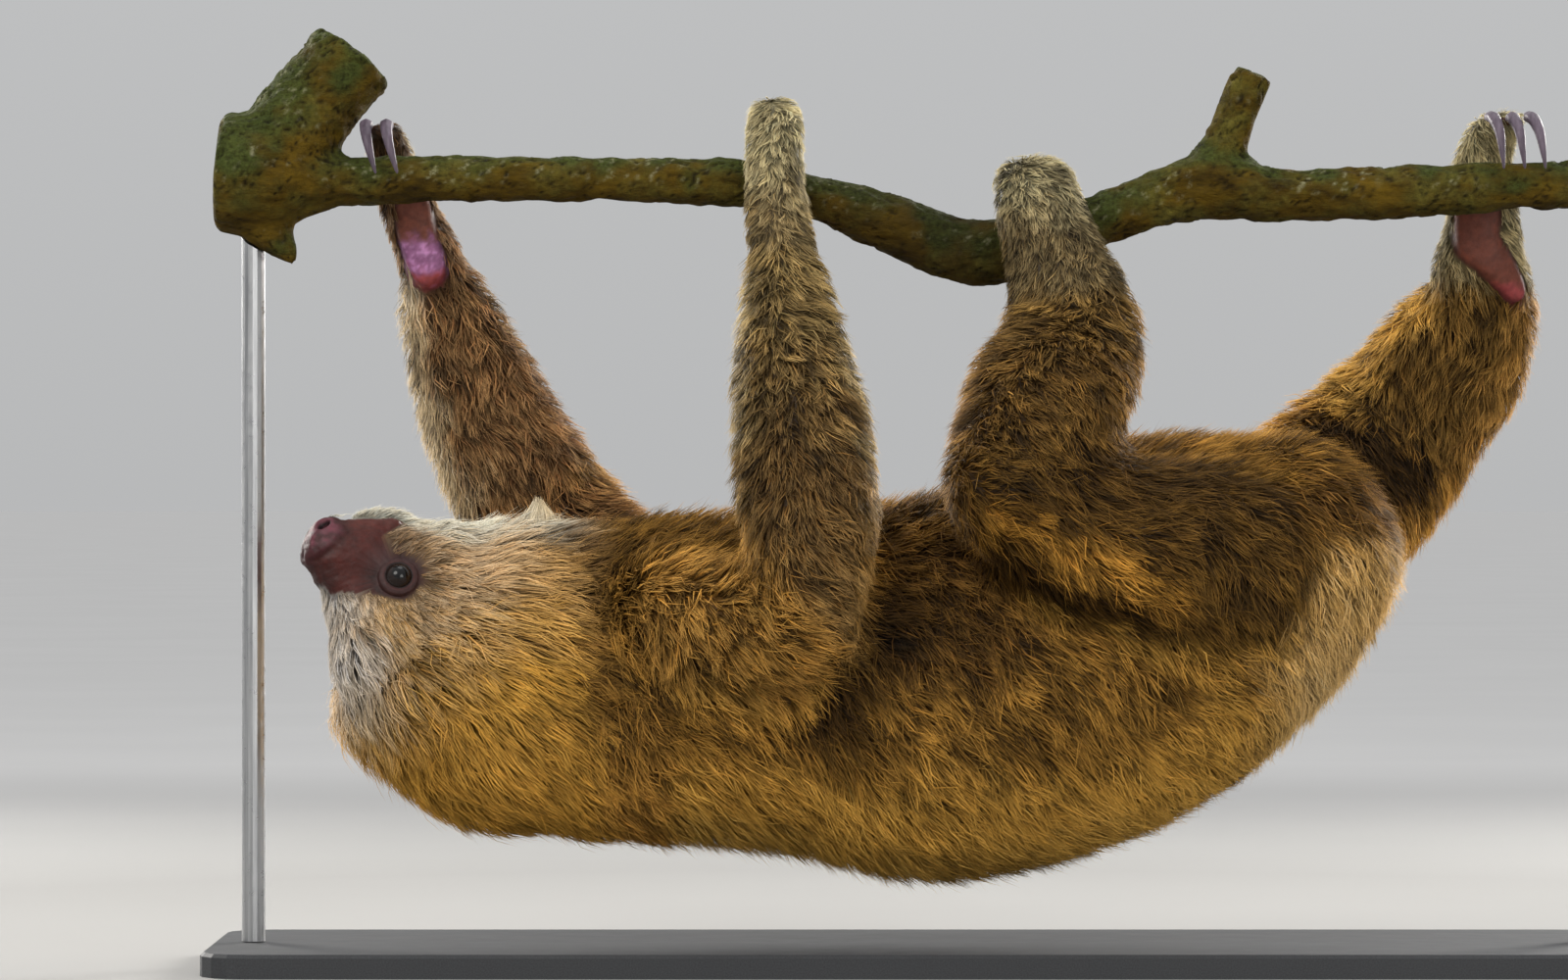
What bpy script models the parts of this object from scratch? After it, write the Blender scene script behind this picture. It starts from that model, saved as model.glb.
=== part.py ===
"""A young two-toed sloth hanging belly up under a cut branch, on a plain display stand.

Metres, +Z up, origin on the floor under the middle of the object. The head points to -X, the
right side of the body to -Y, and the branch runs along X above it. The flesh solids reach to the
tips of the coat. Rings and places are written in millimetres and scaled by MM.
"""

import math

import bmesh
import bpy
from mathutils import Matrix, Vector, noise

MM = 0.001
GAP = 0.00035  # between neighbouring solids

# Display stand
BASE_SIZE = (0.600, 0.160, 0.010)
BASE_CORNER = 0.020
BASE_EDGE = 0.0015
ROD_RADIUS = 0.005
ROD_PLACES = {"left": -0.2825, "right": 0.2825}

# Finish of the flesh solids
FINE_VOXEL = 2.2 * MM
LIMB_VOXEL = 2.0 * MM
SIDES = 28
STEPS = 5
DOME_ANGLES = (25, 50, 70, 84)
BLUNT_ANGLES = (50,)
TORSO_TRIANGLES = 1760
LIMB_TRIANGLES = 440
BRANCH_TRIANGLES = 940

# Head frame: the origin lies midway between the eyes, "ahead" runs to the nose, "right" to the
# right eye and "crown" to the top of the skull, which hangs downward.
HEAD_ORIGIN = Vector((-225.0, -31.0, 161.0)) * MM
HEAD_YAW = math.radians(20.0)
HEAD_PITCH = math.radians(12.0)
HEAD_ROLL = math.radians(15.0)
EYE_RADIUS = 6.2 * MM
EYE_SIDE = 17.4 * MM
EAR_BACK = -42.0 * MM
EAR_CROWN = 2.0 * MM
EAR_SIZE = Vector((9.0, 4.5, 8.0)) * MM
EAR_SUNK = 2.0 * MM

CLAW_ROOT = 2.9 * MM
CLAW_TIP = 0.6 * MM

# Rings: (x, y, z, half width in the side view, half depth)
TRUNK_RINGS = [
    (-146, -2, 120, 68, 58),
    (-122, 0, 121, 69, 61),
    (-99, 0, 122, 72, 66),
    (-44, 0, 121, 77, 72),
    (6, 0, 118, 84, 76),
    (58, 0, 131, 85, 77),
    (106, 0, 152, 79, 74),
    (146, 0, 171, 65, 66),
    (168, 0, 184, 50, 54),
]
THROAT_TUFT_RINGS = [
    (-160, -6, 172, 14, 10),
    (-159, -8, 186, 7, 6),
    (-158, -9, 197, 2, 2),
]
# Ellipsoids, as place and radii: the coat of the skull, and the brow in the head frame
CRANIUM_COAT = ((-172, -11, 121), (69, 56, 66))
BROW_COAT = ((-16, 0, 17), (38, 29, 31))
# Muzzle rings in the head frame: (ahead, crown, half width, half height)
MUZZLE_RINGS = [
    (-22, -5, 32, 30),
    (-10, -6.5, 26, 28),
    (2, -8.5, 21.5, 24),
    (13, -10, 17, 20.5),
    (23, -10.5, 13, 17),
    (30, -11.5, 10.5, 13.5),
    (33, -12, 8.5, 10.5),
]
RIGHT_UPPER_ARM_RINGS = [
    (-104, -40, 145, 36, 30),
    (-72, -60, 143, 31, 29),
    (-50, -77, 151, 27, 26),
]
RIGHT_FOREARM_RINGS = [
    (-45, -80, 164, 25, 23),
    (-47, -76, 190, 31, 26),
    (-50, -62, 227, 31, 25),
    (-54, -48, 259, 26, 22),
    (-56, -37, 288, 20, 17),
    (-59, -27, 311, 15.5, 13),
    (-61, -22, 334, 13.5, 10.5),
    (-61, -17, 351, 13.5, 10),
    (-61, -7, 361, 13, 10),
    (-61, 2, 361, 11, 9),
]
RIGHT_THIGH_RINGS = [
    (134, -38, 167, 46, 40),
    (81, -64, 180, 40, 35),
    (34, -82, 203, 29, 28),
]
RIGHT_SHANK_RINGS = [
    (36, -82, 206, 30, 25),
    (52, -62, 238, 37, 26),
    (63, -42, 262, 33, 22),
    (62, -34, 282, 29, 17),
    (56, -31, 302, 22, 14),
    (50, -27, 322, 20, 11.5),
    (49, -18, 334, 19, 10),
    (49, -7, 336, 17, 9),
    (49, 2, 334, 15, 8),
]
LEFT_THIGH_RINGS = [
    (148, 38, 170, 46, 40),
    (188, 66, 205, 44, 34),
    (216, 82, 233, 39, 28),
]
LEFT_SHANK_RINGS = [
    (214, 80, 228, 35, 26),
    (232, 62, 258, 37, 26),
    (243, 42, 282, 28, 20),
    (242, 32, 298, 22, 16),
    (243, 28, 314, 18, 13),
    (242, 26, 332, 16, 11),
    (244, 20, 350, 14, 8.5),
    (249, 8, 359, 13, 7),
    (251, -1, 359, 11, 5.5),
]
LEFT_UPPER_ARM_RINGS = [
    (-127, 40, 156, 36, 30),
    (-152, 60, 178, 36, 30),
    (-174, 57, 210, 34, 27),
]
LEFT_FOREARM_RINGS = [
    (-165, 58, 196, 34, 27),
    (-178, 55, 218, 33, 26),
    (-191, 46, 248, 29, 23),
    (-204, 34, 284, 21.5, 17),
    (-210, 28, 304, 15.5, 13),
    (-218, 25, 322, 13, 10.5),
    (-224, 20, 340, 11.5, 9),
    (-227, 10, 352, 10.5, 8),
    (-229, 1, 355, 9, 6.5),
]

# Claw paths: (x, y, z) of root, bend points and tip
RIGHT_HAND_CLAW = [(-61, 0, 362), (-61, 12, 361), (-61, 19, 350), (-60, 20, 336), (-60, 16, 322)]
LEFT_HAND_CLAW = [(-229, 3, 356), (-230, -8, 357), (-229, -16, 351), (-227, -18, 343), (-225, -17, 336)]
RIGHT_FOOT_CLAW = [(49, 0, 334), (49, 12, 334), (49, 21, 326), (49, 24, 312), (49, 21, 298)]
LEFT_FOOT_CLAW = [(251, 2, 360), (252, -8, 360), (254, -15, 354), (255, -18, 346), (256, -18, 338)]
# Sideways steps between the claws of one hand or foot
HAND_SPREAD = (-4.2, 4.2)
FOOT_SPREAD = (-8.0, 0.0, 8.0)

# Branch rings: (x, y, z, half height, half depth), thick at the knots
BRANCH_RINGS = [
    (-298, 0, 337, 25, 23),
    (-284, 0, 336, 26, 24),
    (-270, 0, 334, 23, 22),
    (-255, 0, 333, 14, 15),
    (-238, 0, 334, 10.5, 11),
    (-182, 0, 334, 10, 10.5),
    (-124, 0, 334, 10, 10.5),
    (-74, 0, 332, 10, 10.5),
    (-42, 0, 326, 10.5, 11),
    (-4, 0, 313, 13, 12),
    (20, 0, 304, 15, 12.5),
    (49, 0, 306, 13, 12.5),
    (85, 0, 320, 12, 12),
    (118, 0, 331, 13.5, 12.5),
    (134, 0, 331, 14.5, 13),
    (150, 0, 328, 12, 12),
    (201, 0, 329, 11.5, 11.5),
    (260, 0, 331, 11, 11),
    (300, 0, 332, 10.5, 11),
]
SPUR_RINGS = [(-280, -4, 318, 12, 11), (-271, -6, 307, 7, 7), (-265, -8, 298, 2.5, 2.5)]
FORK_RINGS = [(-276, 0, 340, 22, 20), (-259, 5, 364, 20, 18), (-240, 10, 388, 20, 18)]
TWIG_RINGS = [(124, 1, 333, 12, 10), (133, 3, 356, 9.5, 8.5), (143, 4, 380, 9, 8.5)]
BARK_LUMP = 1.4 * MM
BARK_GRAIN = 28.0

COLOURS = {
    "coat": (0.17, 0.10, 0.045),
    "pale coat": (0.52, 0.36, 0.18),
    "bare skin": (0.10, 0.045, 0.035),
    "nose": (0.25, 0.14, 0.15),
    "eye": (0.012, 0.007, 0.005),
    "claw": (0.28, 0.25, 0.30),
    "bark": (0.12, 0.09, 0.035),
    "steel": (0.32, 0.32, 0.33),
    "stand": (0.05, 0.05, 0.052),
}


def clear_scene():
    for obj in list(bpy.data.objects):
        bpy.data.objects.remove(obj, do_unlink=True)


def material(name, roughness, metallic=0.0):
    found = bpy.data.materials.get(name)
    if found:
        return found
    made = bpy.data.materials.new(name)
    made.use_nodes = True
    shader = made.node_tree.nodes["Principled BSDF"]
    shader.inputs["Base Color"].default_value = (*COLOURS[name], 1.0)
    shader.inputs["Roughness"].default_value = roughness
    shader.inputs["Metallic"].default_value = metallic
    return made


def make_object(name, bm):
    mesh = bpy.data.meshes.new(name)
    bmesh.ops.recalc_face_normals(bm, faces=bm.faces)
    bm.to_mesh(mesh)
    bm.free()
    obj = bpy.data.objects.new(name, mesh)
    bpy.context.collection.objects.link(obj)
    return obj


def finish(obj, name, kind, roughness=0.8, metallic=0.0):
    """Name a finished solid and give it its own material."""
    obj.name = name
    obj.data.name = name
    obj.data.materials.clear()
    obj.data.materials.append(material(kind, roughness, metallic))
    obj.data.shade_smooth()
    return obj


def discard(obj):
    bpy.data.objects.remove(obj, do_unlink=True)


def duplicate(obj):
    copy = bpy.data.objects.new(obj.name + " copy", obj.data.copy())
    bpy.context.collection.objects.link(copy)
    return copy


def apply_modifiers(obj):
    depsgraph = bpy.context.evaluated_depsgraph_get()
    made = bpy.data.meshes.new_from_object(obj.evaluated_get(depsgraph))
    obj.modifiers.clear()
    obj.data = made


def combine(target, other, operation):
    modifier = target.modifiers.new("Boolean", "BOOLEAN")
    modifier.operation = operation
    modifier.solver = "EXACT"
    modifier.object = other
    apply_modifiers(target)


def keep_largest(obj):
    """Drop every loose shell but the one with the most volume."""
    bm = bmesh.new()
    bm.from_mesh(obj.data)
    bm.verts.ensure_lookup_table()
    unseen = set(bm.verts)
    shells = []
    while unseen:
        shell = {unseen.pop()}
        front = list(shell)
        while front:
            vert = front.pop()
            near = {edge.other_vert(vert) for edge in vert.link_edges} & unseen
            unseen -= near
            shell |= near
            front.extend(near)
        shells.append(shell)
    shells.sort(key=shell_span, reverse=True)
    spare = [vert for shell in shells[1:] for vert in shell]
    bmesh.ops.delete(bm, geom=spare, context="VERTS")
    bm.to_mesh(obj.data)
    bm.free()


def shell_span(shell):
    points = [vert.co for vert in shell]
    return math.prod(max(p[i] for p in points) - min(p[i] for p in points) + MM for i in range(3))


def clear_of(obj, others, gap=GAP):
    """Cut an object back until it stays a small gap clear of the others."""
    for other in others:
        grown = duplicate(other)
        normals = [vert.normal.copy() for vert in grown.data.vertices]
        for vert, normal in zip(grown.data.vertices, normals):
            vert.co += normal * gap
        combine(obj, grown, "DIFFERENCE")
        discard(grown)
    keep_largest(obj)


def cut_in_two(obj, place, normal):
    """Part a solid at a plane with a thin gap; the piece ahead of the normal comes second."""
    pieces = []
    for side in (-1.0, 1.0):
        bm = bmesh.new()
        bm.from_mesh(obj.data)
        outward = -normal * side
        origin = place - outward * (GAP / 2)
        geometry = bm.verts[:] + bm.edges[:] + bm.faces[:]
        cut = bmesh.ops.bisect_plane(
            bm, geom=geometry, dist=1e-6, plane_co=origin, plane_no=outward, clear_outer=True
        )
        rim = [item for item in cut["geom_cut"] if isinstance(item, bmesh.types.BMEdge)]
        bmesh.ops.holes_fill(bm, edges=rim, sides=0)
        bmesh.ops.triangulate(bm, faces=bm.faces[:])
        pieces.append(make_object(obj.name + " piece", bm))
    discard(obj)
    return pieces


def smooth_rings(rings, steps):
    """Catmull-Rom rings between the given ones, which it keeps."""
    padded = [rings[0], *rings, rings[-1]]
    made = []
    for i in range(len(rings) - 1):
        before, start, end, after = (padded[i + k] for k in range(4))
        for step in range(steps):
            t = step / steps
            made.append(
                tuple(
                    0.5
                    * (
                        2 * b
                        + (c - a) * t
                        + (2 * a - 5 * b + 4 * c - d) * t * t
                        + (3 * b - a - 3 * c + d) * t**3
                    )
                    for a, b, c, d in zip(before, start, end, after)
                )
            )
    made.append(tuple(rings[-1]))
    return made


def round_ends(places, tall, deep, tangents, fullness, dome_angles):
    """Add domed rings at both ends, so that a tube closes like a fingertip."""
    dome = [(math.sin(angle), math.cos(angle)) for angle in map(math.radians, dome_angles)]
    for at_start in (True, False):
        end = 0 if at_start else -1
        direction = -tangents[end] if at_start else tangents[end]
        place, tangent = places[end], tangents[end]
        half_tall, half_deep = tall[end], deep[end]
        reach = min(half_tall, half_deep) * fullness
        for push, shrink in dome:
            ring = (place + direction * reach * push, half_tall * shrink, half_deep * shrink)
            at = 0 if at_start else len(places)
            places.insert(at, ring[0])
            tall.insert(at, ring[1])
            deep.insert(at, ring[2])
            tangents.insert(at, tangent)


def tube(name, rings, across, fullness=1.0, sides=SIDES, steps=STEPS, dome_angles=DOME_ANGLES):
    """A closed tube of elliptical rings; "across" points along the rings' depth.

    Its ends are domes: hemispheres at a fullness of 1, flatter below that, and flat cuts at 0.
    """
    fine = smooth_rings(rings, steps)
    places = [Vector(ring[:3]) * MM for ring in fine]
    tall = [ring[3] * MM for ring in fine]
    deep = [ring[4] * MM for ring in fine]
    last = len(places) - 1
    tangents = [(places[min(i + 1, last)] - places[max(i - 1, 0)]).normalized() for i in range(last + 1)]
    if fullness:
        round_ends(places, tall, deep, tangents, fullness, dome_angles)
    bm = bmesh.new()
    loops = []
    for place, half_tall, half_deep, tangent in zip(places, tall, deep, tangents):
        deep_axis = (across - tangent * across.dot(tangent)).normalized()
        tall_axis = tangent.cross(deep_axis)
        loop = []
        for i in range(sides):
            angle = 2 * math.pi * i / sides
            offset = tall_axis * half_tall * math.cos(angle) + deep_axis * half_deep * math.sin(angle)
            loop.append(bm.verts.new(place + offset))
        loops.append(loop)
    for first, second in zip(loops, loops[1:]):
        for i in range(sides):
            k = (i + 1) % sides
            bm.faces.new((first[i], first[k], second[k], second[i]))
    bm.faces.new(loops[0])
    bm.faces.new(loops[-1])
    return make_object(name, bm)


def swap_axes(rings):
    """Turn rings written for a tube along X into rings for a tube along Z."""
    return [(x, y, z, deep, tall) for x, y, z, tall, deep in rings]


def fuse(name, pieces, voxel, triangles):
    """Melt overlapping closed pieces into one smooth solid of about so many triangles."""
    bm = bmesh.new()
    for piece in pieces:
        bm.from_mesh(piece.data)
        discard(piece)
    fused = make_object(name, bm)
    remesh = fused.modifiers.new("Remesh", "REMESH")
    remesh.mode = "VOXEL"
    remesh.voxel_size = voxel
    smooth = fused.modifiers.new("Smooth", "SMOOTH")
    smooth.factor = 0.5
    smooth.iterations = 6
    apply_modifiers(fused)
    count = sum(len(polygon.vertices) - 2 for polygon in fused.data.polygons)
    decimate = fused.modifiers.new("Decimate", "DECIMATE")
    decimate.ratio = triangles / count
    decimate.use_collapse_triangulate = True
    apply_modifiers(fused)
    return fused


def head_axes():
    """Unit vectors ahead, right and crown of the tilted head."""
    level = math.cos(HEAD_PITCH)
    ahead = Vector((-math.cos(HEAD_YAW) * level, -math.sin(HEAD_YAW) * level, math.sin(HEAD_PITCH)))
    down = Vector((0, 0, -1))
    crown = (down - ahead * down.dot(ahead)).normalized()
    crown = Matrix.Rotation(HEAD_ROLL, 3, ahead) @ crown
    return ahead, ahead.cross(crown), crown


AHEAD, RIGHT, CROWN = head_axes()


def head_point(ahead, right, crown):
    return HEAD_ORIGIN + AHEAD * ahead + RIGHT * right + CROWN * crown


def head_place(*millimetres):
    return head_point(*(value * MM for value in millimetres))


def muzzle_tube():
    rings = []
    for ahead, crown, half_wide, half_high in MUZZLE_RINGS:
        place = head_place(ahead, 0, crown) / MM
        rings.append((*place, half_high, half_wide))
    return tube("muzzle tube", rings, RIGHT, fullness=0.5)


def scaled(millimetres):
    return Vector(millimetres) * MM


def ellipsoid(name, place, radii, turn=None, rings=6):
    bm = bmesh.new()
    bmesh.ops.create_uvsphere(bm, u_segments=2 * rings, v_segments=rings, radius=1.0)
    shape = Matrix.Diagonal((*radii, 1.0))
    rotation = turn.to_4x4() if turn else Matrix.Identity(4)
    bmesh.ops.transform(bm, matrix=Matrix.Translation(place) @ rotation @ shape, verts=bm.verts)
    return make_object(name, bm)


def head_turn():
    """Rotation from the head's own axes (ahead, right, crown) to the world."""
    return Matrix((AHEAD, RIGHT, CROWN)).transposed()


def build_torso():
    """Head, neck and trunk as one solid, parted by thin plane cuts; the head comes last."""
    across = Vector((0, 1, 0))
    whole = fuse(
        "torso",
        [
            tube("trunk", TRUNK_RINGS, across, fullness=0.7),
            ellipsoid("cranium", *map(scaled, CRANIUM_COAT), rings=20),
            ellipsoid("brow", head_place(*BROW_COAT[0]), scaled(BROW_COAT[1]), head_turn(), rings=16),
            tube("throat tuft", THROAT_TUFT_RINGS, across),
            muzzle_tube(),
        ],
        FINE_VOXEL,
        TORSO_TRIANGLES,
    )
    cuts = [
        ("pelvis", Vector((92, 0, 150)) * MM, Vector((1, 0, 0.35)).normalized()),
        ("belly", Vector((-2, 0, 119)) * MM, Vector((1, 0, 0.04)).normalized()),
        ("chest", Vector((-112, 0, 121)) * MM, Vector((1, 0, 0))),
        ("neck", Vector((-142, 0, 120)) * MM, Vector((1, 0, 0))),
    ]
    parts = {}
    for name, place, normal in cuts:
        whole, parts[name] = cut_in_two(whole, place, normal)
    forward = (AHEAD * 0.73 - CROWN * 0.68).normalized()
    parts["head"], muzzle = cut_in_two(whole, head_place(11.5, 0, -7.5), forward)
    muzzle, parts["lower_jaw"] = cut_in_two(muzzle, head_place(20, 0, -20.6), -CROWN)
    parts["muzzle"], parts["nose"] = cut_in_two(muzzle, head_place(31.5, 0, -10), AHEAD)
    return parts


def build_eyes_and_ears(head):
    parts = {}
    for side, sign in (("right", 1.0), ("left", -1.0)):
        eye = ellipsoid("eye", head_point(0.0, sign * EYE_SIDE, 0.0), (EYE_RADIUS,) * 3)
        clear_of(head, [eye])
        parts["eye_" + side] = eye
        outward = RIGHT * sign
        _, surface, _, _ = head.ray_cast(head_point(EAR_BACK, 0.0, EAR_CROWN), outward)
        ear = ellipsoid("ear", surface - outward * EAR_SUNK, EAR_SIZE, head_turn())
        clear_of(head, [ear])
        parts["ear_" + side] = ear
    return parts


def build_limb(names, upper_rings, lower_rings, cuts, solids_passed):
    """One limb from root to hooked hand or foot, cut clear of the trunk and branch, then parted."""
    upper = tube("upper", upper_rings, Vector((0, 1, 0)))
    lower = tube("lower", swap_axes(lower_rings), Vector((1, 0, 0)))
    rest = fuse("limb", [upper, lower], LIMB_VOXEL, LIMB_TRIANGLES)
    clear_of(rest, solids_passed)
    parts = {}
    for name, (place, normal) in zip(names, cuts):
        direction = Vector(normal).normalized()
        parts[name], rest = cut_in_two(rest, Vector(place) * MM, direction)
    parts[names[-1]] = rest
    return parts


def claw(path, shift, fan):
    """A hooked claw along the path, moved sideways and fanned out toward its tip."""
    rings = []
    last = len(path) - 1
    for i, (x, y, z) in enumerate(path):
        share = i / last
        radius = CLAW_ROOT * (1 - share**1.5) + CLAW_TIP * share**1.5
        rings.append((x + shift * (1 + fan * share), y, z, radius / MM, 1.15 * radius / MM))
    return tube("claw", rings, Vector((1, 0, 0)), sides=6, steps=2, dome_angles=BLUNT_ANGLES)


def build_claws(foot_name, foot, path, spread, fan, branch):
    parts = {}
    for i, shift in enumerate(spread):
        made = claw(path, shift, fan)
        clear_of(made, [foot, branch])
        parts[f"claw_{foot_name}_{i + 1}"] = made
    return parts


def roughen(obj, amount, grain):
    """Push a surface in and out with smooth noise, like the lumps of old bark."""
    for vert in obj.data.vertices:
        stretched = Vector((vert.co.x * 0.45, vert.co.y, vert.co.z)) * grain * 2.4
        lump = noise.noise(stretched) + 0.5 * noise.noise(stretched * 2.1)
        vert.co += vert.normal * amount * lump


def build_branch():
    """A crooked length of branch with its sawn fork, twig stub and broken spur."""
    across = Vector((0, 1, 0))
    pieces = [
        tube("branch", BRANCH_RINGS, across, fullness=0.0),
        tube("fork", FORK_RINGS, across, fullness=0.0),
        tube("twig", TWIG_RINGS, across, fullness=0.0),
        tube("spur", SPUR_RINGS, across),
    ]
    branch = fuse("branch", pieces, LIMB_VOXEL, BRANCH_TRIANGLES)
    roughen(branch, BARK_LUMP, BARK_GRAIN)
    return branch


def build_stand(branch):
    length, depth, thick = BASE_SIZE
    bm = bmesh.new()
    bmesh.ops.create_cube(bm, size=1.0)
    bmesh.ops.transform(bm, matrix=Matrix.Diagonal((length, depth, thick, 1.0)), verts=bm.verts)
    bmesh.ops.translate(bm, vec=(0, 0, thick / 2), verts=bm.verts)
    upright = [edge for edge in bm.edges if abs(edge.verts[0].co.z - edge.verts[1].co.z) > thick / 2]
    bmesh.ops.bevel(bm, geom=upright, offset=BASE_CORNER, segments=4, profile=0.5, affect="EDGES")
    top = [edge for edge in bm.edges if all(vert.co.z > thick * 0.99 for vert in edge.verts)]
    bmesh.ops.bevel(bm, geom=top, offset=BASE_EDGE, segments=1, profile=0.5, affect="EDGES")
    parts = {"stand_base": make_object("base", bm)}
    for side, x in ROD_PLACES.items():
        bottom = thick + GAP
        height = branch_height(x) - bottom
        bm = bmesh.new()
        bmesh.ops.create_cone(
            bm, cap_ends=True, segments=16, radius1=ROD_RADIUS, radius2=ROD_RADIUS, depth=height
        )
        bmesh.ops.translate(bm, vec=(x, 0, bottom + height / 2), verts=bm.verts)
        rod = make_object("rod", bm)
        clear_of(rod, [branch])
        parts["stand_rod_" + side] = rod
    return parts


def branch_height(x):
    """Height of the branch's middle at a place along it."""
    for (x0, _, z0, *_), (x1, _, z1, *_) in zip(BRANCH_RINGS, BRANCH_RINGS[1:]):
        if x0 * MM <= x <= x1 * MM:
            return (z0 + (z1 - z0) * (x / MM - x0) / (x1 - x0)) * MM
    raise ValueError("no branch at this place")


def main():
    clear_scene()
    branch = build_branch()
    torso = build_torso()
    body = [torso[name] for name in ("head", "neck", "chest", "belly", "pelvis")]

    limbs = {}
    limbs |= build_limb(
        ("upper_arm_right", "forearm_right", "hand_right"),
        RIGHT_UPPER_ARM_RINGS,
        RIGHT_FOREARM_RINGS,
        [((-78, -70, 190), (0.78, 0, 0.63)), ((-58, -30, 304), (0, 0.2, 1))],
        [*body[1:4], branch],
    )
    limbs |= build_limb(
        ("thigh_right", "shank_right", "foot_right"),
        RIGHT_THIGH_RINGS,
        RIGHT_SHANK_RINGS,
        [((5, -80, 190), (-0.45, 0, 0.9)), ((62, -34, 286), (-0.1, 0.1, 1))],
        [*body[3:], branch],
    )
    limbs |= build_limb(
        ("upper_arm_left", "forearm_left", "hand_left"),
        LEFT_UPPER_ARM_RINGS,
        LEFT_FOREARM_RINGS,
        [((-168, 58, 206), (-0.5, 0, 0.86)), ((-206, 28, 300), (-0.3, 0, 1))],
        [*body[:3], branch],
    )
    limbs |= build_limb(
        ("thigh_left", "shank_left", "foot_left"),
        LEFT_THIGH_RINGS,
        LEFT_SHANK_RINGS,
        [((216, 78, 228), (0.45, -0.1, 0.86)), ((244, 34, 292), (0.0, -0.2, 1))],
        [*body[3:], branch],
    )

    claws = {}
    claws |= build_claws("hand_right", limbs["hand_right"], RIGHT_HAND_CLAW, HAND_SPREAD, 0.3, branch)
    claws |= build_claws("hand_left", limbs["hand_left"], LEFT_HAND_CLAW, HAND_SPREAD, 0.1, branch)
    claws |= build_claws("foot_right", limbs["foot_right"], RIGHT_FOOT_CLAW, FOOT_SPREAD, 0.2, branch)
    claws |= build_claws("foot_left", limbs["foot_left"], LEFT_FOOT_CLAW, FOOT_SPREAD, 0.1, branch)

    features = build_eyes_and_ears(torso["head"])
    stand = build_stand(branch)

    pale = {"head", "hand_left", "hand_right", "foot_left", "foot_right", "ear_left", "ear_right"}
    for name, obj in (torso | limbs | features).items():
        if name.startswith("eye"):
            finish(obj, name, "eye", roughness=0.08)
        elif name == "nose":
            finish(obj, name, "nose", roughness=0.45)
        elif name in ("muzzle", "lower_jaw"):
            finish(obj, name, "bare skin", roughness=0.6)
        else:
            finish(obj, name, "pale coat" if name in pale else "coat")
    for name, obj in claws.items():
        finish(obj, name, "claw", roughness=0.4)
    finish(branch, "perch_branch", "bark", roughness=0.9)
    for name, obj in stand.items():
        if name == "stand_base":
            finish(obj, name, "stand", roughness=0.5)
        else:
            finish(obj, name, "steel", roughness=0.35, metallic=1.0)


main()
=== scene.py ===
"""Looks of the two-toed sloth: one skin, its coat of solid locks, eyes, claws, bark and stand.

Metres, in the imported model's own frame: the head points to -X, the animal's right side to -Y and
its belly up. Lengths of hair, widths and depths are written in millimetres and scaled by MM. Places
on the head are millimetres ahead, to the side and to the crown from the middle between the eyes.
"""

import math
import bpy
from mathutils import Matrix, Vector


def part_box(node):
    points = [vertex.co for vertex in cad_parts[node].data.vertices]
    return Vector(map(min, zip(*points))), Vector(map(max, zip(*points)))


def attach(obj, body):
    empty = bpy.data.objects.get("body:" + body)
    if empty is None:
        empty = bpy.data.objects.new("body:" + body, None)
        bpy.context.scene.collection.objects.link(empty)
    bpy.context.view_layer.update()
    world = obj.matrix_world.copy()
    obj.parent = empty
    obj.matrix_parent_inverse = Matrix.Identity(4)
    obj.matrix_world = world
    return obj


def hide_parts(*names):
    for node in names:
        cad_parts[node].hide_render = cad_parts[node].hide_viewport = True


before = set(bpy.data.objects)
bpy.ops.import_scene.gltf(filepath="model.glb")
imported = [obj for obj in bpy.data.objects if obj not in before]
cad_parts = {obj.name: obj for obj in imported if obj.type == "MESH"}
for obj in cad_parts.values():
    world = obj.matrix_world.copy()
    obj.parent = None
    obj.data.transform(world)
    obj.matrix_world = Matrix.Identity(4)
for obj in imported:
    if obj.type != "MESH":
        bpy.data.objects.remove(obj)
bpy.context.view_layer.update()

from types import SimpleNamespace

import bmesh
import bpy
import numpy as np
from mathutils import Matrix, Vector, kdtree

MM = 0.001
BODY = "root"
SEED = 20

# ---------------------------------------------------------------- named places and sizes

SIDES = ("left", "right")
TRUNK = ["head", "neck", "chest", "belly", "pelvis"]
FACE = ["muzzle", "nose", "lower_jaw"]
LIMB = ("upper_arm", "forearm", "hand", "thigh", "shank", "foot")
FLESH = TRUNK + FACE + [f"{part}_{side}" for side in SIDES for part in LIMB]
CLAWS = [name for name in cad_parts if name.startswith("claw_")]
HEAD_PARTS = ["head"] + FACE
LONG_PARTS = ["head", "neck", "lower_jaw"]
EYES = (("eye_right", 1.0), ("eye_left", -1.0))
EARS = (("ear_right", 1.0), ("ear_left", -1.0))

GROWTH = 0.5 * MM  # closes the thin cuts between the nodes
SKIN_VOXEL = 2.4 * MM
CLAW_VOXEL = 0.5 * MM
CLAW_GROWTH = 0.1 * MM  # makes up for what melting and relaxing take off
BARK_VOXEL = 1.5 * MM
SAMPLE_GAP = 3.0 * MM
REGION_REACH = 7.0 * MM
FACE_REACH = 47.0  # of bare skin, from between the eyes
NOSE_DROP = math.radians(19.0)  # how far the nose lies below the eyes' own line ahead
GAZE = (0.24, 1.0, -0.15)  # an eye's way ahead, to its own side and to the crown
LID_OPENING = 66.0  # degrees off the gaze
FACE_CENTRE = (11, 0, -7)
FACE_CUT = (35 * MM, 4)  # reach from the face's centre, cuts of each edge
PAD_CUT = (27 * MM, 1)  # the same round each palm and sole
PAD_RISE = 14 * MM  # of a palm's or sole's centre above its node's lowest point
EYE_SCALE = 0.985  # of the scene's eyeball to the solid one, before its cornea is swelled
EAR_SIZE = (6.0, 7.0, 2.2)

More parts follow.
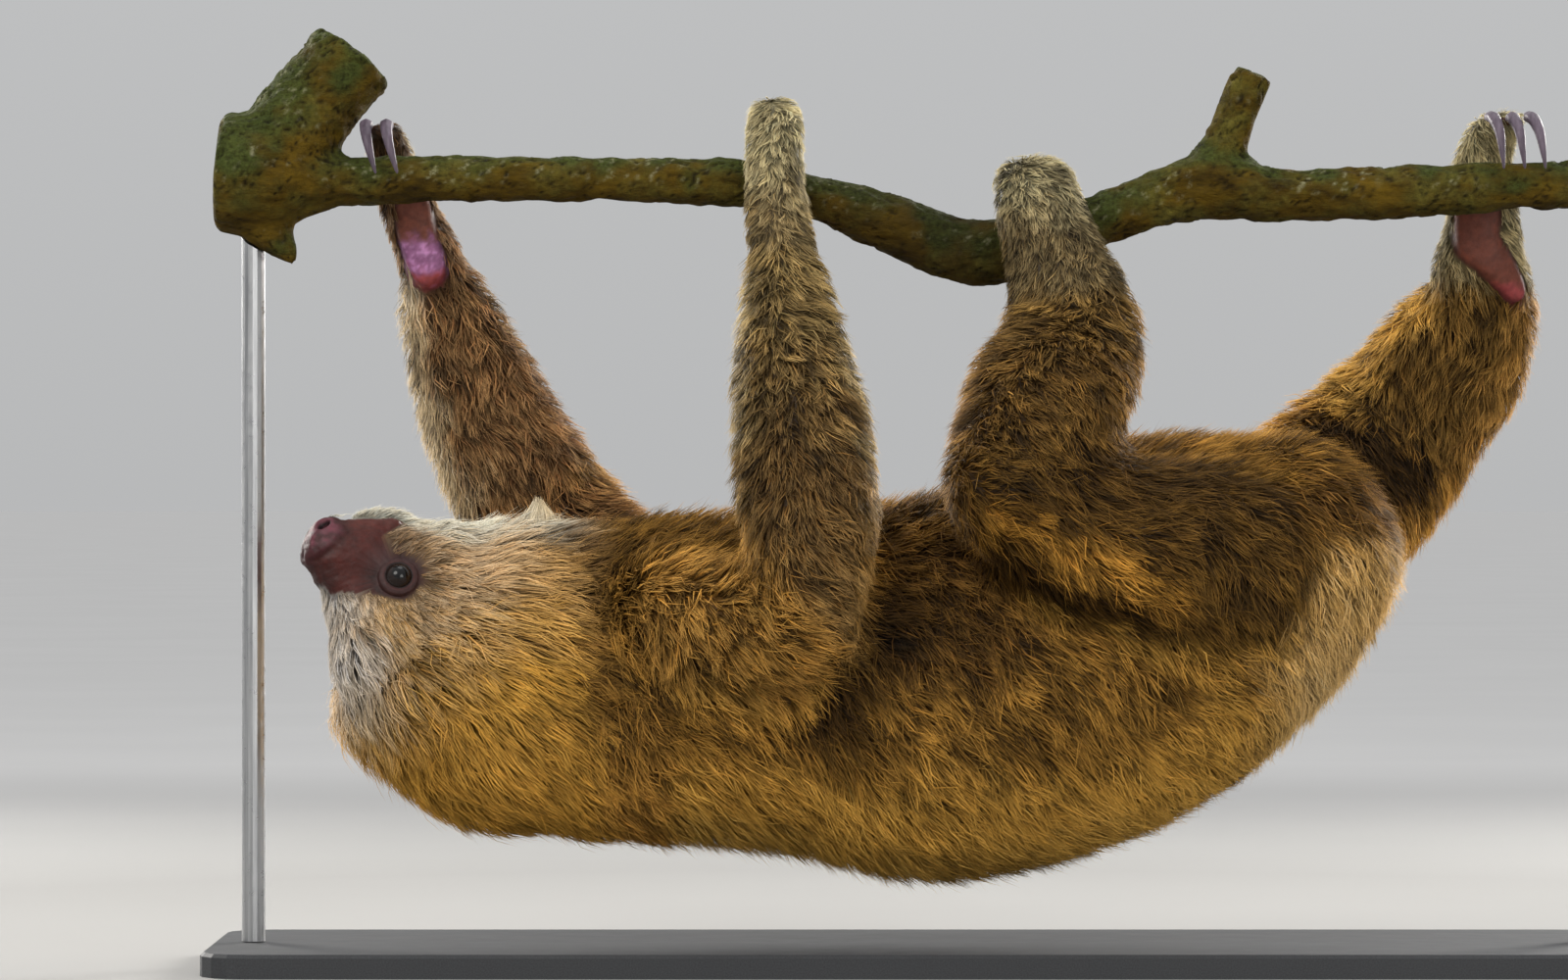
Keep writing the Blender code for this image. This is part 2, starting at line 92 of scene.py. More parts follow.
# Edges on the head for np.interp. The nose pad's rear edge and the bare face's edge at the cheek
# go by place to the crown, and the bare face's edge at the brow by place ahead
PAD_BACK = ([-25, -17, -11, -5], [24.0, 22.0, 27.0, 33.0])
CHEEK_EDGE = ([-28, -25, -22, -18.5, -15.6, -12.5, -9.5, -5], [-3, -2.5, 2, 6.5, 8.5, 7, 2, -9])
BROW_EDGE = ([-14, -4, 8, 16, 21, 25], [-3, 9.5, 9.5, 8.6, 7.8, 9])
# How far the coat stands out beyond the skull, by place ahead at the jaw and the throat and by
# place to the crown at the brow
JAW_SWELL = ([-14, -6, 2, 12, 24, 29], [0, 2.56, 3.2, 2.56, 1.28, 0])
THROAT_SWELL = ([-95, -80, -67, -47, -33, -20, -12], [0, 1.2, 2.5, 4.0, 5.0, 2.5, 0])
BROW_SWELL = (
    [0, 6, 10, 16, 21, 26, 31, 39, 46, 52, 58, 64, 70, 76],
    [0, 3.5, 4.5, 2.2, 1.4, 3.2, 5.2, 8.8, 11.0, 9.0, 5.5, 3.5, 1.2, 0],
)
# How far the skin stands off an eyeball's radius: degrees beyond the lids' margin, millimetres
LID_RISE = ([-LID_OPENING, -6, 0, 4, 11, 19, 30, 42], [-2.2, -2.0, 0.3, 1.2, 2.1, 2.4, 2.2, 1.6])

# Coat by part: (depth of the coat, length of its hair, width of a lock)
COAT_SIZES = {
    "head": (10.0, 18.0, 0.80),
    "neck": (10.0, 17.0, 0.85),
    "chest": (9.5, 16.0, 0.85),
    "belly": (9.5, 16.0, 0.85),
    "pelvis": (9.5, 15.0, 0.85),
    "upper_arm": (7.5, 13.0, 0.80),
    "forearm": (6.0, 11.0, 0.75),
    "hand": (2.6, 6.5, 0.60),
    "thigh": (7.5, 13.0, 0.80),
    "shank": (6.0, 10.0, 0.75),
    "foot": (2.8, 6.5, 0.60),
    "muzzle": (0.3, 2.5, 0.32),
    "nose": (0.0, 2.0, 0.30),
    "lower_jaw": (0.6, 3.5, 0.36),
}
# Locks of each kind: how many, rings of points, share of guides that the others lean to
LOCKS = {"long": (19000, 4, 0.08), "bent": (42000, 3, 0.08), "fine": (175000, 2, 0.05)}
# By rings: width of each ring but the tip, and shade from root to tip, partly the hair's own darker base and
# partly painted shade deep in the coat
LOCK_WIDTHS = {4: (0.80, 1.0, 0.62), 3: (0.90, 0.80), 2: (1.05,)}
LOCK_SHADES = {4: (0.22, 0.64, 1.15, 1.70), 3: (0.22, 0.88, 1.75), 2: (0.36, 1.75)}
PIECE_TRIANGLES = 185000
LENGTH_RANGE = (0.70, 1.20)  # of the mean length where a lock stands
WIDTH_RANGE = (0.70, 1.25)
PULL_RANGE = (0.30, 0.90)  # of the way from a lock's tip to its guide's
GUIDE_REACH = (8 * MM, 3 * MM)  # from no pull to all of it
LIFT_RANGE = (-4 * MM, 12 * MM)  # through which a lock's foot is brought back to the skin
ROOT_DEPTH = 0.4 * MM
WISP_SHARE = 0.20  # of locks that stray from their neighbours
SOFTNESS = 0.45  # how far a lock's shading follows the skin's
TIP_SHARE = 0.55  # how far a lock's tip goes over to the colour of tips
LIGHTEST = 0.72  # for any lock, in linear light
# The skin under the coat takes the coat's markings darkened, as painted shade in the gaps between locks.
UNDER_COAT = 0.35  # tone of the skin under the coat, of the coat's own
TUFT_LOCKS = 1200
TUFT_HEIGHT = 15 * MM
TUFT_SPREAD = 13 * MM
TUFT_REACH = 22 * MM
TUFT_WIDTH = 1.1 * MM
PATCH = 0.003  # size of one lock on the OFBake map
TILE_INSET = 0.05
COAT_GROUPS = {"head": HEAD_PARTS, "front": ["neck", "chest"], "middle": ["belly"], "rear": ["pelvis"]}
for limb, members in (("arm", LIMB[:3]), ("leg", LIMB[3:])):
    for side in reversed(SIDES):
        COAT_GROUPS[f"{limb}_{side}"] = [f"{part}_{side}" for part in members]

# Bare pads: (share along X, rise above the node's box, radius)
PADS = {
    "hand_left": ((0.47, 35, 8.3), (0.50, 18, 9.0), (0.60, 2, 9.6)),
    "hand_right": ((0.50, 38, 8.0), (0.50, 20, 8.5), (0.50, 4, 8.0)),
    "foot_left": ((0.42, 38, 11.0), (0.42, 19, 10.4), (0.79, -2, 6.2)),
    "foot_right": ((0.50, 35, 10.0), (0.50, 18, 9.5), (0.50, 2, 7.0)),
}
# Lower edge of the near arm and knee, with painted rim light along it and painted shadow behind it: start and
# end in X and Z from the box, reach of the shade
FOLDS = (
    ("upper_arm_right", (101.6, 44.0), (69.0, -6.5), 44.0),
    ("thigh_right", (76.5, 25.0), (5.5, 57.0), 20.0),
)
# Lie of the coat: places in the part's box (0 to 1 along X, Y and Z), each with its direction
COMBS = {
    "neck": (
        ((0.5, 0, 0.8), (0.85, 0, -0.45)), ((0.5, 0, 0.2), (0.7, 0, -0.7)),
        ((0.5, 1, 0.5), (0.8, 0, -0.6)),
    ),
    "chest": (
        ((0.1, 0, 0.7), (0.8, 0, -0.6)), ((0.8, 0, 0.5), (0.6, 0, -0.8)),
        ((0.4, 0, 0.1), (0.9, 0, -0.4)), ((0.5, 1, 0.5), (0.65, 0, -0.75)),
    ),
    "belly": (
        ((0.5, 0, 0.8), (0.55, 0, -0.85)), ((0.5, 0, 0.4), (0.55, 0, -0.8)),
        ((0.5, 0, 0.1), (0.9, 0, -0.35)), ((0.5, 1, 0.5), (0.55, 0, -0.8)),
    ),
    "pelvis": (
        ((0.2, 0, 0.3), (0.7, 0, -0.55)), ((0.6, 0, 0.7), (0.4, 0, -0.9)),
        ((0.9, 0.5, 0.6), (0.25, 0, -0.95)), ((0.5, 1, 0.4), (0.5, 0, -0.8)),
    ),
    "upper_arm_right": (((0.2, 0, 0.6), (0.85, 0, -0.5)), ((0.7, 0, 0.2), (0.85, 0, -0.45))),
    "forearm_right": (
        ((0.5, 0.2, 0.1), (0.75, -0.2, -0.55)), ((0.5, 0.3, 0.5), (0.3, 0, -0.95)),
        ((0.5, 0.5, 0.9), (0.15, 0, -1)),
    ),
    "hand_right": (((0.5, 0.5, 0.5), (0.1, 0, -1)),),
    "thigh_right": (
        ((0.1, 0, 0.7), (1, 0, -0.05)), ((0.5, 0, 0.7), (0.95, 0, -0.1)),
        ((0.5, 0, 0.2), (0.9, 0, -0.4)), ((0.95, 0.2, 0.5), (0.45, 0, -0.9)),
    ),
    "shank_right": (((0.5, 0.2, 0.3), (0.1, 0, -1)), ((0.5, 0.5, 0.8), (-0.25, 0, -0.95))),
    "foot_right": (((0.5, 0.3, 0.5), (0.25, 0, -0.95)),),
    "upper_arm_left": (((0.5, 0.6, 0.5), (0.75, 0, -0.65)),),
    "forearm_left": (((0.5, 0.5, 0.3), (0.5, 0, -0.85)), ((0.5, 0.5, 0.8), (0.35, 0, -0.95))),
    "hand_left": (((0.5, 0.8, 0.5), (0.3, 0, -0.95)),),
    "thigh_left": (((0.5, 0.8, 0.5), (-0.2, 0, -0.95)),),
    "shank_left": (((0.6, 0.6, 0.5), (-0.25, 0, -0.95)),),
    "foot_left": (((0.5, 0.8, 0.5), (0.15, 0, -1)),),
}
COMB_REACH = 45.0 * MM / 2.2  # at which a comb's pull has fallen to half


def srgb(red, green, blue):
    """Display colour, 0 to 255, as linear light."""
    value = np.array([red, green, blue]) / 255.0
    return np.where(value <= 0.04045, value / 12.92, ((value + 0.055) / 1.055) ** 2.4)


HUE = SimpleNamespace(
    white=srgb(190, 186, 182),
    cream=srgb(206, 194, 168),
    cheek=srgb(190, 154, 108),
    gold=srgb(168, 126, 64),
    olive_gold=srgb(166, 122, 52),
    tan=srgb(226, 170, 88),
    brown=srgb(172, 122, 58),
    umber=srgb(116, 82, 34),
    dark=srgb(64, 42, 16),
    grey_cream=srgb(152, 142, 104),
    grey_brown=srgb(120, 99, 60),
    rust=srgb(122, 82, 50),
    russet=srgb(104, 72, 46),
    muzzle=srgb(60, 16, 8),
    nose=srgb(53, 17, 20),
    # painted highlight of the moist nose pad
    nose_painted_highlight=srgb(95, 46, 57),
    lip=srgb(74, 33, 26),
    lid=srgb(50, 31, 30),
    # darkest face colour: laid as painted shade in the face's creases, nostrils and mouth line, and as the
    # dark rim of palms and soles
    socket=srgb(22, 12, 11),
    pupil=srgb(5, 4, 4),
    iris=srgb(26, 16, 11),
    eye_white=srgb(24, 16, 14),
    palm=srgb(128, 80, 116),
    # pale blotches on the palms: partly their own mottling, partly painted highlights of moist skin
    palm_blotch_and_highlight=srgb(174, 122, 166),
    palm_top=srgb(102, 54, 40),
    heel=srgb(126, 52, 52),
    sole=srgb(92, 46, 32),
    tip_white=srgb(226, 212, 188),
    tip_cream=srgb(206, 186, 142),
    tip_gold=srgb(208, 156, 64),
)

# ---------------------------------------------------------------- small helpers


def ease(low, high, value):
    """0 at low and 1 at high, smoothly; low may be the greater of the two."""
    t = np.clip((value - low) / (high - low), 0.0, 1.0)
    return t * t * (3.0 - 2.0 * t)


def bell(distance, radius):
    """1 at the middle, falling smoothly to 0 well past the radius."""
    return np.exp(-((distance / radius) ** 2))


def mix(first, second, share):
    share = np.asarray(share)[..., None]
    return first * (1.0 - share) + second * share


def layered(colour, *coats):
    """A colour with others laid over it in turn, each by its share."""
    for hue, share in coats:
        colour = mix(colour, hue, share)
    return colour


def length_of(vectors):
    return np.linalg.norm(vectors, axis=-1)


def unit(vectors):
    return vectors / np.maximum(np.linalg.norm(vectors, axis=-1, keepdims=True), 1e-9)


def node_box(node):
    """Lowest and highest corner of a node."""
    return [np.array(corner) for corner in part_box(node)]


def box_place(node, share):
    low, high = node_box(node)
    return low + (high - low) * share


def box_centre(node):
    return box_place(node, 0.5)


def part_of(name):
    return name.removesuffix("_left").removesuffix("_right")


def share_of(shares, *nodes):
    """How much each vertex belongs to some nodes together."""
    return shares[:, [FLESH.index(node) for node in nodes]].sum(axis=1)


def waves(points, size, seed, octaves=3):
    """Smooth noise between about -1 and 1, as a sum of sine waves in seeded directions."""
    rng = np.random.default_rng(seed)
    total = np.zeros(len(points))
    weight = 0.0
    for octave in range(octaves):
        for _ in range(5):
            direction = unit(rng.normal(size=3)) * (2 * math.pi / size) * 1.9**octave
            bend = unit(rng.normal(size=3)) * (2 * math.pi / size) * 0.8
            phase = rng.uniform(0, 2 * math.pi, size=2)
            strength = 0.6**octave
            total += strength * np.sin(points @ direction + phase[0] + 1.7 * np.sin(points @ bend + phase[1]))
            weight += strength**2 / 2
    return total / math.sqrt(weight) / 1.6


def read(items, key, width=3, kind=float):
    """One property of all items, a row for each."""
    values = np.empty(len(items) * width, dtype=kind)
    items.foreach_get(key, values)
    return values.reshape(-1, width)


def read_points(mesh):
    return read(mesh.vertices, "co")


def read_normals(mesh):
    return read(mesh.vertex_normals, "vector", kind=np.float32).astype(float)


def read_edges(mesh):
    return read(mesh.edges, "vertices", 2, np.int32)


def read_triangles(mesh):
    mesh.calc_loop_triangles()
    return read(mesh.loop_triangles, "vertices", 3, np.int32)


def write_points(mesh, points):
    mesh.vertices.foreach_set("co", points.ravel())
    mesh.update()


def set_colours(mesh, name, colours):
    layer = mesh.color_attributes.new(name, "FLOAT_COLOR", "POINT")
    filled = np.ones((len(mesh.vertices), 4), dtype=np.float32)
    filled[:, : colours.shape[1]] = colours
    layer.data.foreach_set("color", filled.ravel())


def relaxed(values, edges, rounds, share=0.5):
    """Average each vertex's values with its neighbours' some rounds over."""
    values = np.array(values, dtype=float)
    flat = values.reshape(len(values), -1)
    count = np.bincount(edges.ravel(), minlength=len(values)).astype(float)
    for _ in range(rounds):
        for column in range(flat.shape[1]):
            near = np.bincount(edges[:, 0], flat[edges[:, 1], column], len(values))
            near += np.bincount(edges[:, 1], flat[edges[:, 0], column], len(values))
            flat[:, column] += share * (near / np.maximum(count, 1) - flat[:, column])
    return flat.reshape(values.shape)


def relaxed_where(near, points, edges, rounds):
    """Points relaxed where near is 1 and left where it is 0."""
    return mix(points, relaxed(points, edges, rounds), near)


def make_tree(points):
    tree = kdtree.KDTree(len(points))
    for i, point in enumerate(points):
        tree.insert(point, i)
    tree.balance()
    return tree


def triangle_areas(points, corners):
    a, b, c = (points[corners[:, i]] for i in range(3))
    return length_of(np.cross(b - a, c - a)) / 2


def random_roots(corners, weight, count, rng):
    """Random places on triangles picked by weight: numbers of their corners and the corners' shares."""
    chosen = rng.choice(len(weight), count, p=weight / weight.sum())
    a, b = rng.random((2, count))
    flip = a + b > 1
    a, b = np.where(flip, 1 - a, a), np.where(flip, 1 - b, b)
    return corners[chosen], np.stack([1 - a - b, a, b], axis=1)


def at_roots(values, roots):
    """Vertex values at random places on triangles."""
    corners, shares = roots
    picked = values[corners]
    return (picked * shares.reshape(shares.shape + (1,) * (picked.ndim - 2))).sum(axis=1)


def new_object(name, mesh):
    obj = bpy.data.objects.new(name, mesh)
    bpy.context.scene.collection.objects.link(obj)
    return obj


def mesh_of(bm, name):
    mesh = bpy.data.meshes.new(name)
    bm.to_mesh(mesh)
    bm.free()
    return mesh


def melt(obj, voxel, rounds):
    """Melt an object's solids into one closed surface of even faces, relaxed some rounds over."""
    remesh = obj.modifiers.new("Remesh", "REMESH")
    remesh.mode = "VOXEL"
    remesh.voxel_size = voxel
    made = bpy.data.meshes.new_from_object(obj.evaluated_get(bpy.context.evaluated_depsgraph_get()))
    obj.modifiers.clear()
    obj.data = made
    write_points(made, relaxed(read_points(made), read_edges(made), rounds))


def show(obj, material, slot, *stood_for):
    """Make an object a piece of the model, in place of the nodes that it stands for."""
    obj.data.materials.clear()
    obj.data.materials.append(material)
    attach(obj, BODY)
    if stood_for:
        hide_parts(*stood_for)


# ---------------------------------------------------------------- head frame


class HeadFrame:
    """Axes of the tilted head: ahead to the nose, right to the right eye, crown to the skull's top."""

    def __init__(self):
        right_eye, left_eye = box_centre("eye_right"), box_centre("eye_left")
        self.origin = (right_eye + left_eye) / 2
        self.right = unit(right_eye - left_eye)
        toward_nose = box_centre("nose") - self.origin
        toward_nose = unit(toward_nose - self.right * (toward_nose @ self.right))
        crown = np.cross(self.right, toward_nose)
        self.ahead = toward_nose * math.cos(NOSE_DROP) + crown * math.sin(NOSE_DROP)
        self.crown = np.cross(self.right, self.ahead)
        self.eye_side = float((right_eye - self.origin) @ self.right) / MM

    def local(self, points):
        offset = points - self.origin
        return np.stack([offset @ self.ahead, offset @ self.right, offset @ self.crown], axis=-1) / MM

    def direction(self, ahead, right, crown):
        return self.ahead * ahead + self.right * right + self.crown * crown

    def world(self, ahead, right, crown):
        return self.origin + self.direction(ahead, right, crown) * MM


HEAD = HeadFrame()


def mouth_line(ahead):
    """How high the mouth lies toward the crown at a distance ahead."""
    return -26.1 + 0.1 * (ahead - 15)


def gaze(sign):
    """Unit direction in which the eye of one side looks."""
    ahead, side, crown = GAZE
    return unit(HEAD.direction(ahead, side * sign, crown))


def nostril_distance(local):
    """Distance from the middle of the nearer nostril, drawn out along a slant."""
    ahead, side, crown = local[:, 0] - 31.0, np.abs(local[:, 1]) - 7.0, local[:, 2] + 20.2
    along, across = (ahead + crown) / math.sqrt(2), (ahead - crown) / math.sqrt(2)
    return np.sqrt((along / 1.15) ** 2 + (across / 0.80) ** 2 + (side / 1.1) ** 2)


def eye_distance(local):
    """Distance from the axis along which the nearer eye looks, and far behind the eye."""
    axis = unit(np.array(GAZE))
    offset = np.stack([local[:, 0], np.abs(local[:, 1]) - HEAD.eye_side, local[:, 2]], axis=1)
    along = offset @ axis
    return np.where(along > -4, length_of(offset - along[:, None] * axis), 60.0)


def about_eye(points, name, sign):
    """Directions from an eyeball's centre, distances from it and degrees off its gaze."""
    offset = points - box_centre(name)
    outward = unit(offset)
    angle = np.degrees(np.arccos(np.clip(outward @ gaze(sign), -1, 1)))
    return outward, length_of(offset) / MM, angle


# ---------------------------------------------------------------- materials


class Nodes:
    """Short hand for building one node material."""

    MIX_SOCKETS = {"RGBA": (6, 7, 2), "FLOAT": (2, 3, 0)}  # both inputs and the output of a Mix node

    def __init__(self, name, specular=0.5, **values):
        self.material = bpy.data.materials.new(name)
        self.material.use_nodes = True
        self.tree = self.material.node_tree
        self.shader = self.tree.nodes["Principled BSDF"]
        for key, value in {"Specular IOR Level": specular, **values}.items():
            self.shader.inputs[key].default_value = value

    def add(self, kind, **settings):
        node = self.tree.nodes.new(kind)
        for key, value in settings.items():
            if key in node.inputs:
                self.feed(value, node.inputs[key])
            else:
                setattr(node, key, value)
        return node

    def feed(self, value, socket):
        if isinstance(value, bpy.types.NodeSocket):
            self.tree.links.new(value, socket)
        elif np.ndim(value) and socket.type == "RGBA":
            socket.default_value = (*value, 1.0)
        else:
            socket.default_value = value

    def place(self, stretch=None):
        place = self.add("ShaderNodeTexCoord").outputs["Object"]
        if stretch is None:
            return place
        return self.add("ShaderNodeMapping", Scale=stretch, Vector=place).outputs["Vector"]

    def noise(self, scale, detail=4.0, roughness=0.55, stretch=None):
        settings = {"Scale": scale, "Detail": detail, "Roughness": roughness}
        return self.add("ShaderNodeTexNoise", Vector=self.place(stretch), **settings).outputs["Fac"]

    def ranged(self, value, *limits):
        """A value carried over from one range to another."""
        keys = ("From Min", "From Max", "To Min", "To Max")
        return self.add("ShaderNodeMapRange", Value=value, **dict(zip(keys, limits))).outputs["Result"]

    def spread(self, low, high, *noise, **stretch):
        """Noise whose middle range is stretched over low to high."""
        return self.ranged(self.noise(*noise, **stretch), 0.3, 0.7, low, high)

    def blend(self, factor, first, second, kind="RGBA"):
        a, b, result = self.MIX_SOCKETS[kind]
        node = self.add("ShaderNodeMix", data_type=kind)
        for value, socket in ((factor, 0), (first, a), (second, b)):
            self.feed(value, node.inputs[socket])
        return node.outputs[result]

    def scaled(self, colour, factor):
        """A colour made lighter or darker by a factor."""
        node = self.add("ShaderNodeVectorMath", operation="SCALE", Scale=factor)
        self.feed(colour, node.inputs[0])
        return node.outputs["Vector"]

    def attribute(self, name, output="Color"):
        return self.add("ShaderNodeAttribute", attribute_name=name).outputs[output]

    def bump(self, height, strength, distance, below=None):
        node = self.add("ShaderNodeBump", Strength=strength, Distance=distance, Height=height)
        if below is not None:
            self.feed(below, node.inputs["Normal"])
        return node.outputs["Normal"]

    def finish(self, colour, roughness, normal=None):
        self.feed(colour, self.shader.inputs["Base Color"])
        self.feed(roughness, self.shader.inputs["Roughness"])
        if normal is not None:
            self.feed(normal, self.shader.inputs["Normal"])
        return self.material


def coat_material():
    """Hair: the markings carried by each lock, with fine streaks along it."""
    m = Nodes("coat_hair", specular=0.12)
    colour = m.scaled(m.attribute("Tint"), m.spread(0.82, 1.18, 900.0, 2.0))
    colour = m.scaled(colour, m.spread(0.90, 1.10, 60.0, 3.0))
    return m.finish(colour, m.spread(0.62, 0.78, 400.0, 2.0), m.bump(m.noise(1800.0, 2.0), 0.15, 0.0003))


def skin_material():
    """Bare and covered skin: its own markings, pores, fine creases and a moist nose."""
    m = Nodes("skin", specular=0.30)
    pores = m.add("ShaderNodeTexVoronoi", Scale=1300.0, Vector=m.place()).outputs["Distance"]
    normal = m.bump(m.noise(420.0, 6.0, 0.65), 0.45, 0.0005, m.bump(pores, 0.30, 0.0002))
    rough = m.blend(m.attribute("Wet", "Fac"), m.spread(0.52, 0.70, 500.0, 3.0), 0.32, "FLOAT")
    return m.finish(m.scaled(m.attribute("Tint"), m.spread(0.80, 1.20, 260.0, 5.0)), rough, normal)


def eye_material():
    m = Nodes("eye_gloss", specular=0.10, **{"Coat Weight": 0.45, "Coat Roughness": 0.05})
    colour = m.scaled(m.attribute("Tint"), m.spread(0.75, 1.25, 900.0, 3.0))
    return m.finish(colour, m.spread(0.22, 0.34, 200.0, 2.0), m.bump(m.noise(300.0, 2.0), 0.02, 0.0002))


def claw_material():
    """Horn: lilac grey with faint lengthwise lines."""
    m = Nodes("claw_horn", specular=0.25)
    lengthwise = {"stretch": (3.0, 1.0, 0.4)}
    colour = m.blend(m.spread(0.0, 1.0, 160.0, 3.0, **lengthwise), srgb(66, 56, 66), srgb(98, 86, 98))
    colour = m.scaled(colour, m.spread(0.92, 1.06, 1400.0, 3.0))
    normal = m.bump(m.noise(500.0, 3.0, **lengthwise), 0.15, 0.0001)
    return m.finish(colour, m.spread(0.40, 0.52, 500.0), normal)


def bark_material():
    """Bark: brown and olive, with moss on top, pale lichen flecks and painted shade."""
    m = Nodes("bark", specular=0.12)
    lengthwise = {"stretch": (0.4, 1.0, 1.0)}
    moss, lichen, dark = m.add("ShaderNodeSeparateColor", Color=m.attribute("Tint")).outputs
    grain = m.blend(m.spread(0.0, 1.0, 110.0, 10.0, 0.68, **lengthwise), srgb(31, 22, 3), srgb(102, 80, 17))
    weathered = m.blend(m.spread(0.0, 1.0, 260.0, 8.0, 0.7), srgb(34, 30, 8), srgb(106, 97, 38))
    green = m.blend(m.spread(0.0, 1.0, 500.0, 5.0, 0.65), srgb(24, 31, 8), srgb(72, 84, 38))
    flecks = m.add("ShaderNodeMath", operation="MULTIPLY")
    m.feed(lichen, flecks.inputs[0])
    m.feed(m.spread(-0.3, 1.0, 520.0, 5.0, 0.7), flecks.inputs[1])
    colour = m.blend(m.spread(-1.0, 1.4, 42.0, 6.0, 0.62), grain, weathered)
    colour = m.blend(moss, colour, green)
    colour = m.blend(flecks.outputs[0], colour, srgb(146, 144, 112))
    # painted shade: darker in the cracks, on the underside and at the dip
    colour = m.blend(dark, colour, srgb(18, 13, 4))
    fine = m.bump(m.noise(900.0, 6.0, 0.65), 0.7, 0.0006)
    rough = m.bump(m.noise(190.0, 8.0, 0.66, **lengthwise), 1.0, 0.0030, fine)
    normal = m.bump(m.noise(70.0, 6.0, 0.6, (0.6, 1.0, 1.0)), 0.7, 0.0050, rough)
    return m.finish(colour, m.spread(0.80, 0.96, 300.0), normal)


def stand_material():
    m = Nodes("stand_paint", specular=0.15)
    colour = m.blend(m.spread(0.0, 1.0, 1500.0, 3.0), srgb(52, 53, 55), srgb(64, 65, 67))
    return m.finish(colour, m.spread(0.56, 0.70, 30.0, 5.0), m.bump(m.noise(2200.0, 2.0), 0.10, 0.0002))


def rod_material():
    m = Nodes("stand_steel", Metallic=1.0)
    drawn = m.spread(0.0, 1.0, 600.0, 3.0, stretch=(1.0, 1.0, 0.03))
    colour = m.blend(drawn, srgb(150, 151, 153), srgb(186, 187, 188))
    normal = m.bump(m.noise(900.0, 2.0, stretch=(1.0, 1.0, 0.05)), 0.10, 0.0002)
    return m.finish(colour, m.spread(0.26, 0.40, 300.0), normal)


def floor_material():
    """Matt pale floor, a little deeper in tone under the stand than far off: painted shade that offsets the
    lamps' stronger light near the middle.
    """
    m = Nodes("floor")
    reach = m.add("ShaderNodeVectorMath", operation="LENGTH")
    m.feed(m.place(), reach.inputs[0])
    fade = m.ranged(reach.outputs["Value"], 0.7, 2.1, 0.0, 1.0)
    colour = m.blend(fade, srgb(134, 133, 131), srgb(201, 200, 199))
    return m.finish(m.scaled(colour, m.spread(0.98, 1.02, 3.0)), 0.85)


# ---------------------------------------------------------------- skin


def region_samples():
    """Points spread over the flesh nodes' faces, with the number of their node."""
    rng = np.random.default_rng(SEED)
    places, labels = [], []
    for label, name in enumerate(FLESH):
        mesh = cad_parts[name].data
        points, corners = read_points(mesh), read_triangles(mesh)
        area = triangle_areas(points, corners)
        count = max(60, int(area.sum() / SAMPLE_GAP**2))
        places.append(at_roots(points, random_roots(corners, area, count, rng)))
        labels.append(np.full(count, label))
    return np.concatenate(places), np.concatenate(labels)


def region_shares(points, edges):
    """How much each vertex belongs to each flesh node, blending softly across the cuts."""
    samples, labels = region_samples()
    tree = make_tree(samples)
    shares = np.zeros((len(points), len(FLESH)))
    for i, point in enumerate(points):
        for _, j, distance in tree.find_n(point, 6):
            shares[i, labels[j]] += math.exp(-((distance / REGION_REACH) ** 2)) + 1e-6
    return relaxed(shares / shares.sum(axis=1, keepdims=True), edges, 4)


def whole_flesh():
    """All flesh nodes, eyes and ears melted into one closed surface at the coat's outline."""
    bm = bmesh.new()
    for name in FLESH + [f"{part}_{side}" for part in ("eye", "ear") for side in SIDES]:
        bm.from_mesh(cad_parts[name].data)
    bm.normal_update()
    moves = [vert.normal * GROWTH for vert in bm.verts]
    for vert, move in zip(bm.verts, moves):
        vert.co += move
    skin = new_object("skin", mesh_of(bm, "skin"))
    melt(skin, SKIN_VOXEL, 6)
    return skin


def bare_face(local):
    """1 on the naked skin of the muzzle and round the eyes, 0 under the coat."""
    ragged = 0.6 * waves(local, 3.0, 51) + 0.5 * waves(local, 8.0, 52)
    ahead, side, crown = local[:, 0] + ragged, np.abs(local[:, 1]), local[:, 2] + ragged
    mask = ease(1.2, -1.2, crown - np.interp(ahead, *BROW_EDGE))
    mask *= ease(-1.2, 1.2, ahead - np.interp(crown, *CHEEK_EDGE))
    mask *= ease(-0.8, 0.6, local[:, 2] - mouth_line(local[:, 0]) + 0.3 * ragged)
    mask *= 1 - ease(4.2, 2.8, side) * ease(0.0, 3.0, crown) * ease(29, 26, ahead)
    below_eye = 1.6 * ease(2, -8, local[:, 2]) * ease(8, -8, ahead)
    eye_ring = ease(10.4, 9.2, eye_distance(local) - below_eye)
    return np.maximum(mask, eye_ring) * ease(FACE_REACH + 3, FACE_REACH - 3, length_of(local))


def pad_distance(points, node):
    """Distance beyond the edge of a palm's or sole's bare pad, in millimetres in the side view."""
    low, high = node_box(node)
    line = [
        np.array([low[0] + (high[0] - low[0]) * share, low[2] + rise * MM, radius * MM])
        for share, rise, radius in PADS[node]
    ]
    flat = points[:, [0, 2]]
    nearest = np.full(len(points), 1.0)
    for start, end in zip(line, line[1:]):
        step = (end - start)[:2]
        spot = mix(start, end, np.clip(((flat - start[:2]) @ step) / (step @ step), 0, 1))
        nearest = np.minimum(nearest, length_of(flat - spot[:, :2]) - spot[:, 2])
    return nearest / MM


def bare_palms(points, normals, shares):
    """1 on the naked palms and soles, which face the branch side of each hand and foot."""
    mask = np.zeros(len(points))
    for side, facing in zip(SIDES, (-1.0, 1.0)):
        for end, above in (("hand", "forearm"), ("foot", "shank")):
            here = ease(0.4, 0.7, share_of(shares, f"{end}_{side}", f"{above}_{side}"))
            edge = pad_distance(points, f"{end}_{side}") + 0.5 * waves(points, 5 * MM, 53)
            toward = ease(0.05, 0.35, normals[:, 1] * facing)
            mask = np.maximum(mask, here * toward * ease(0.9, -0.9, edge))
    return mask


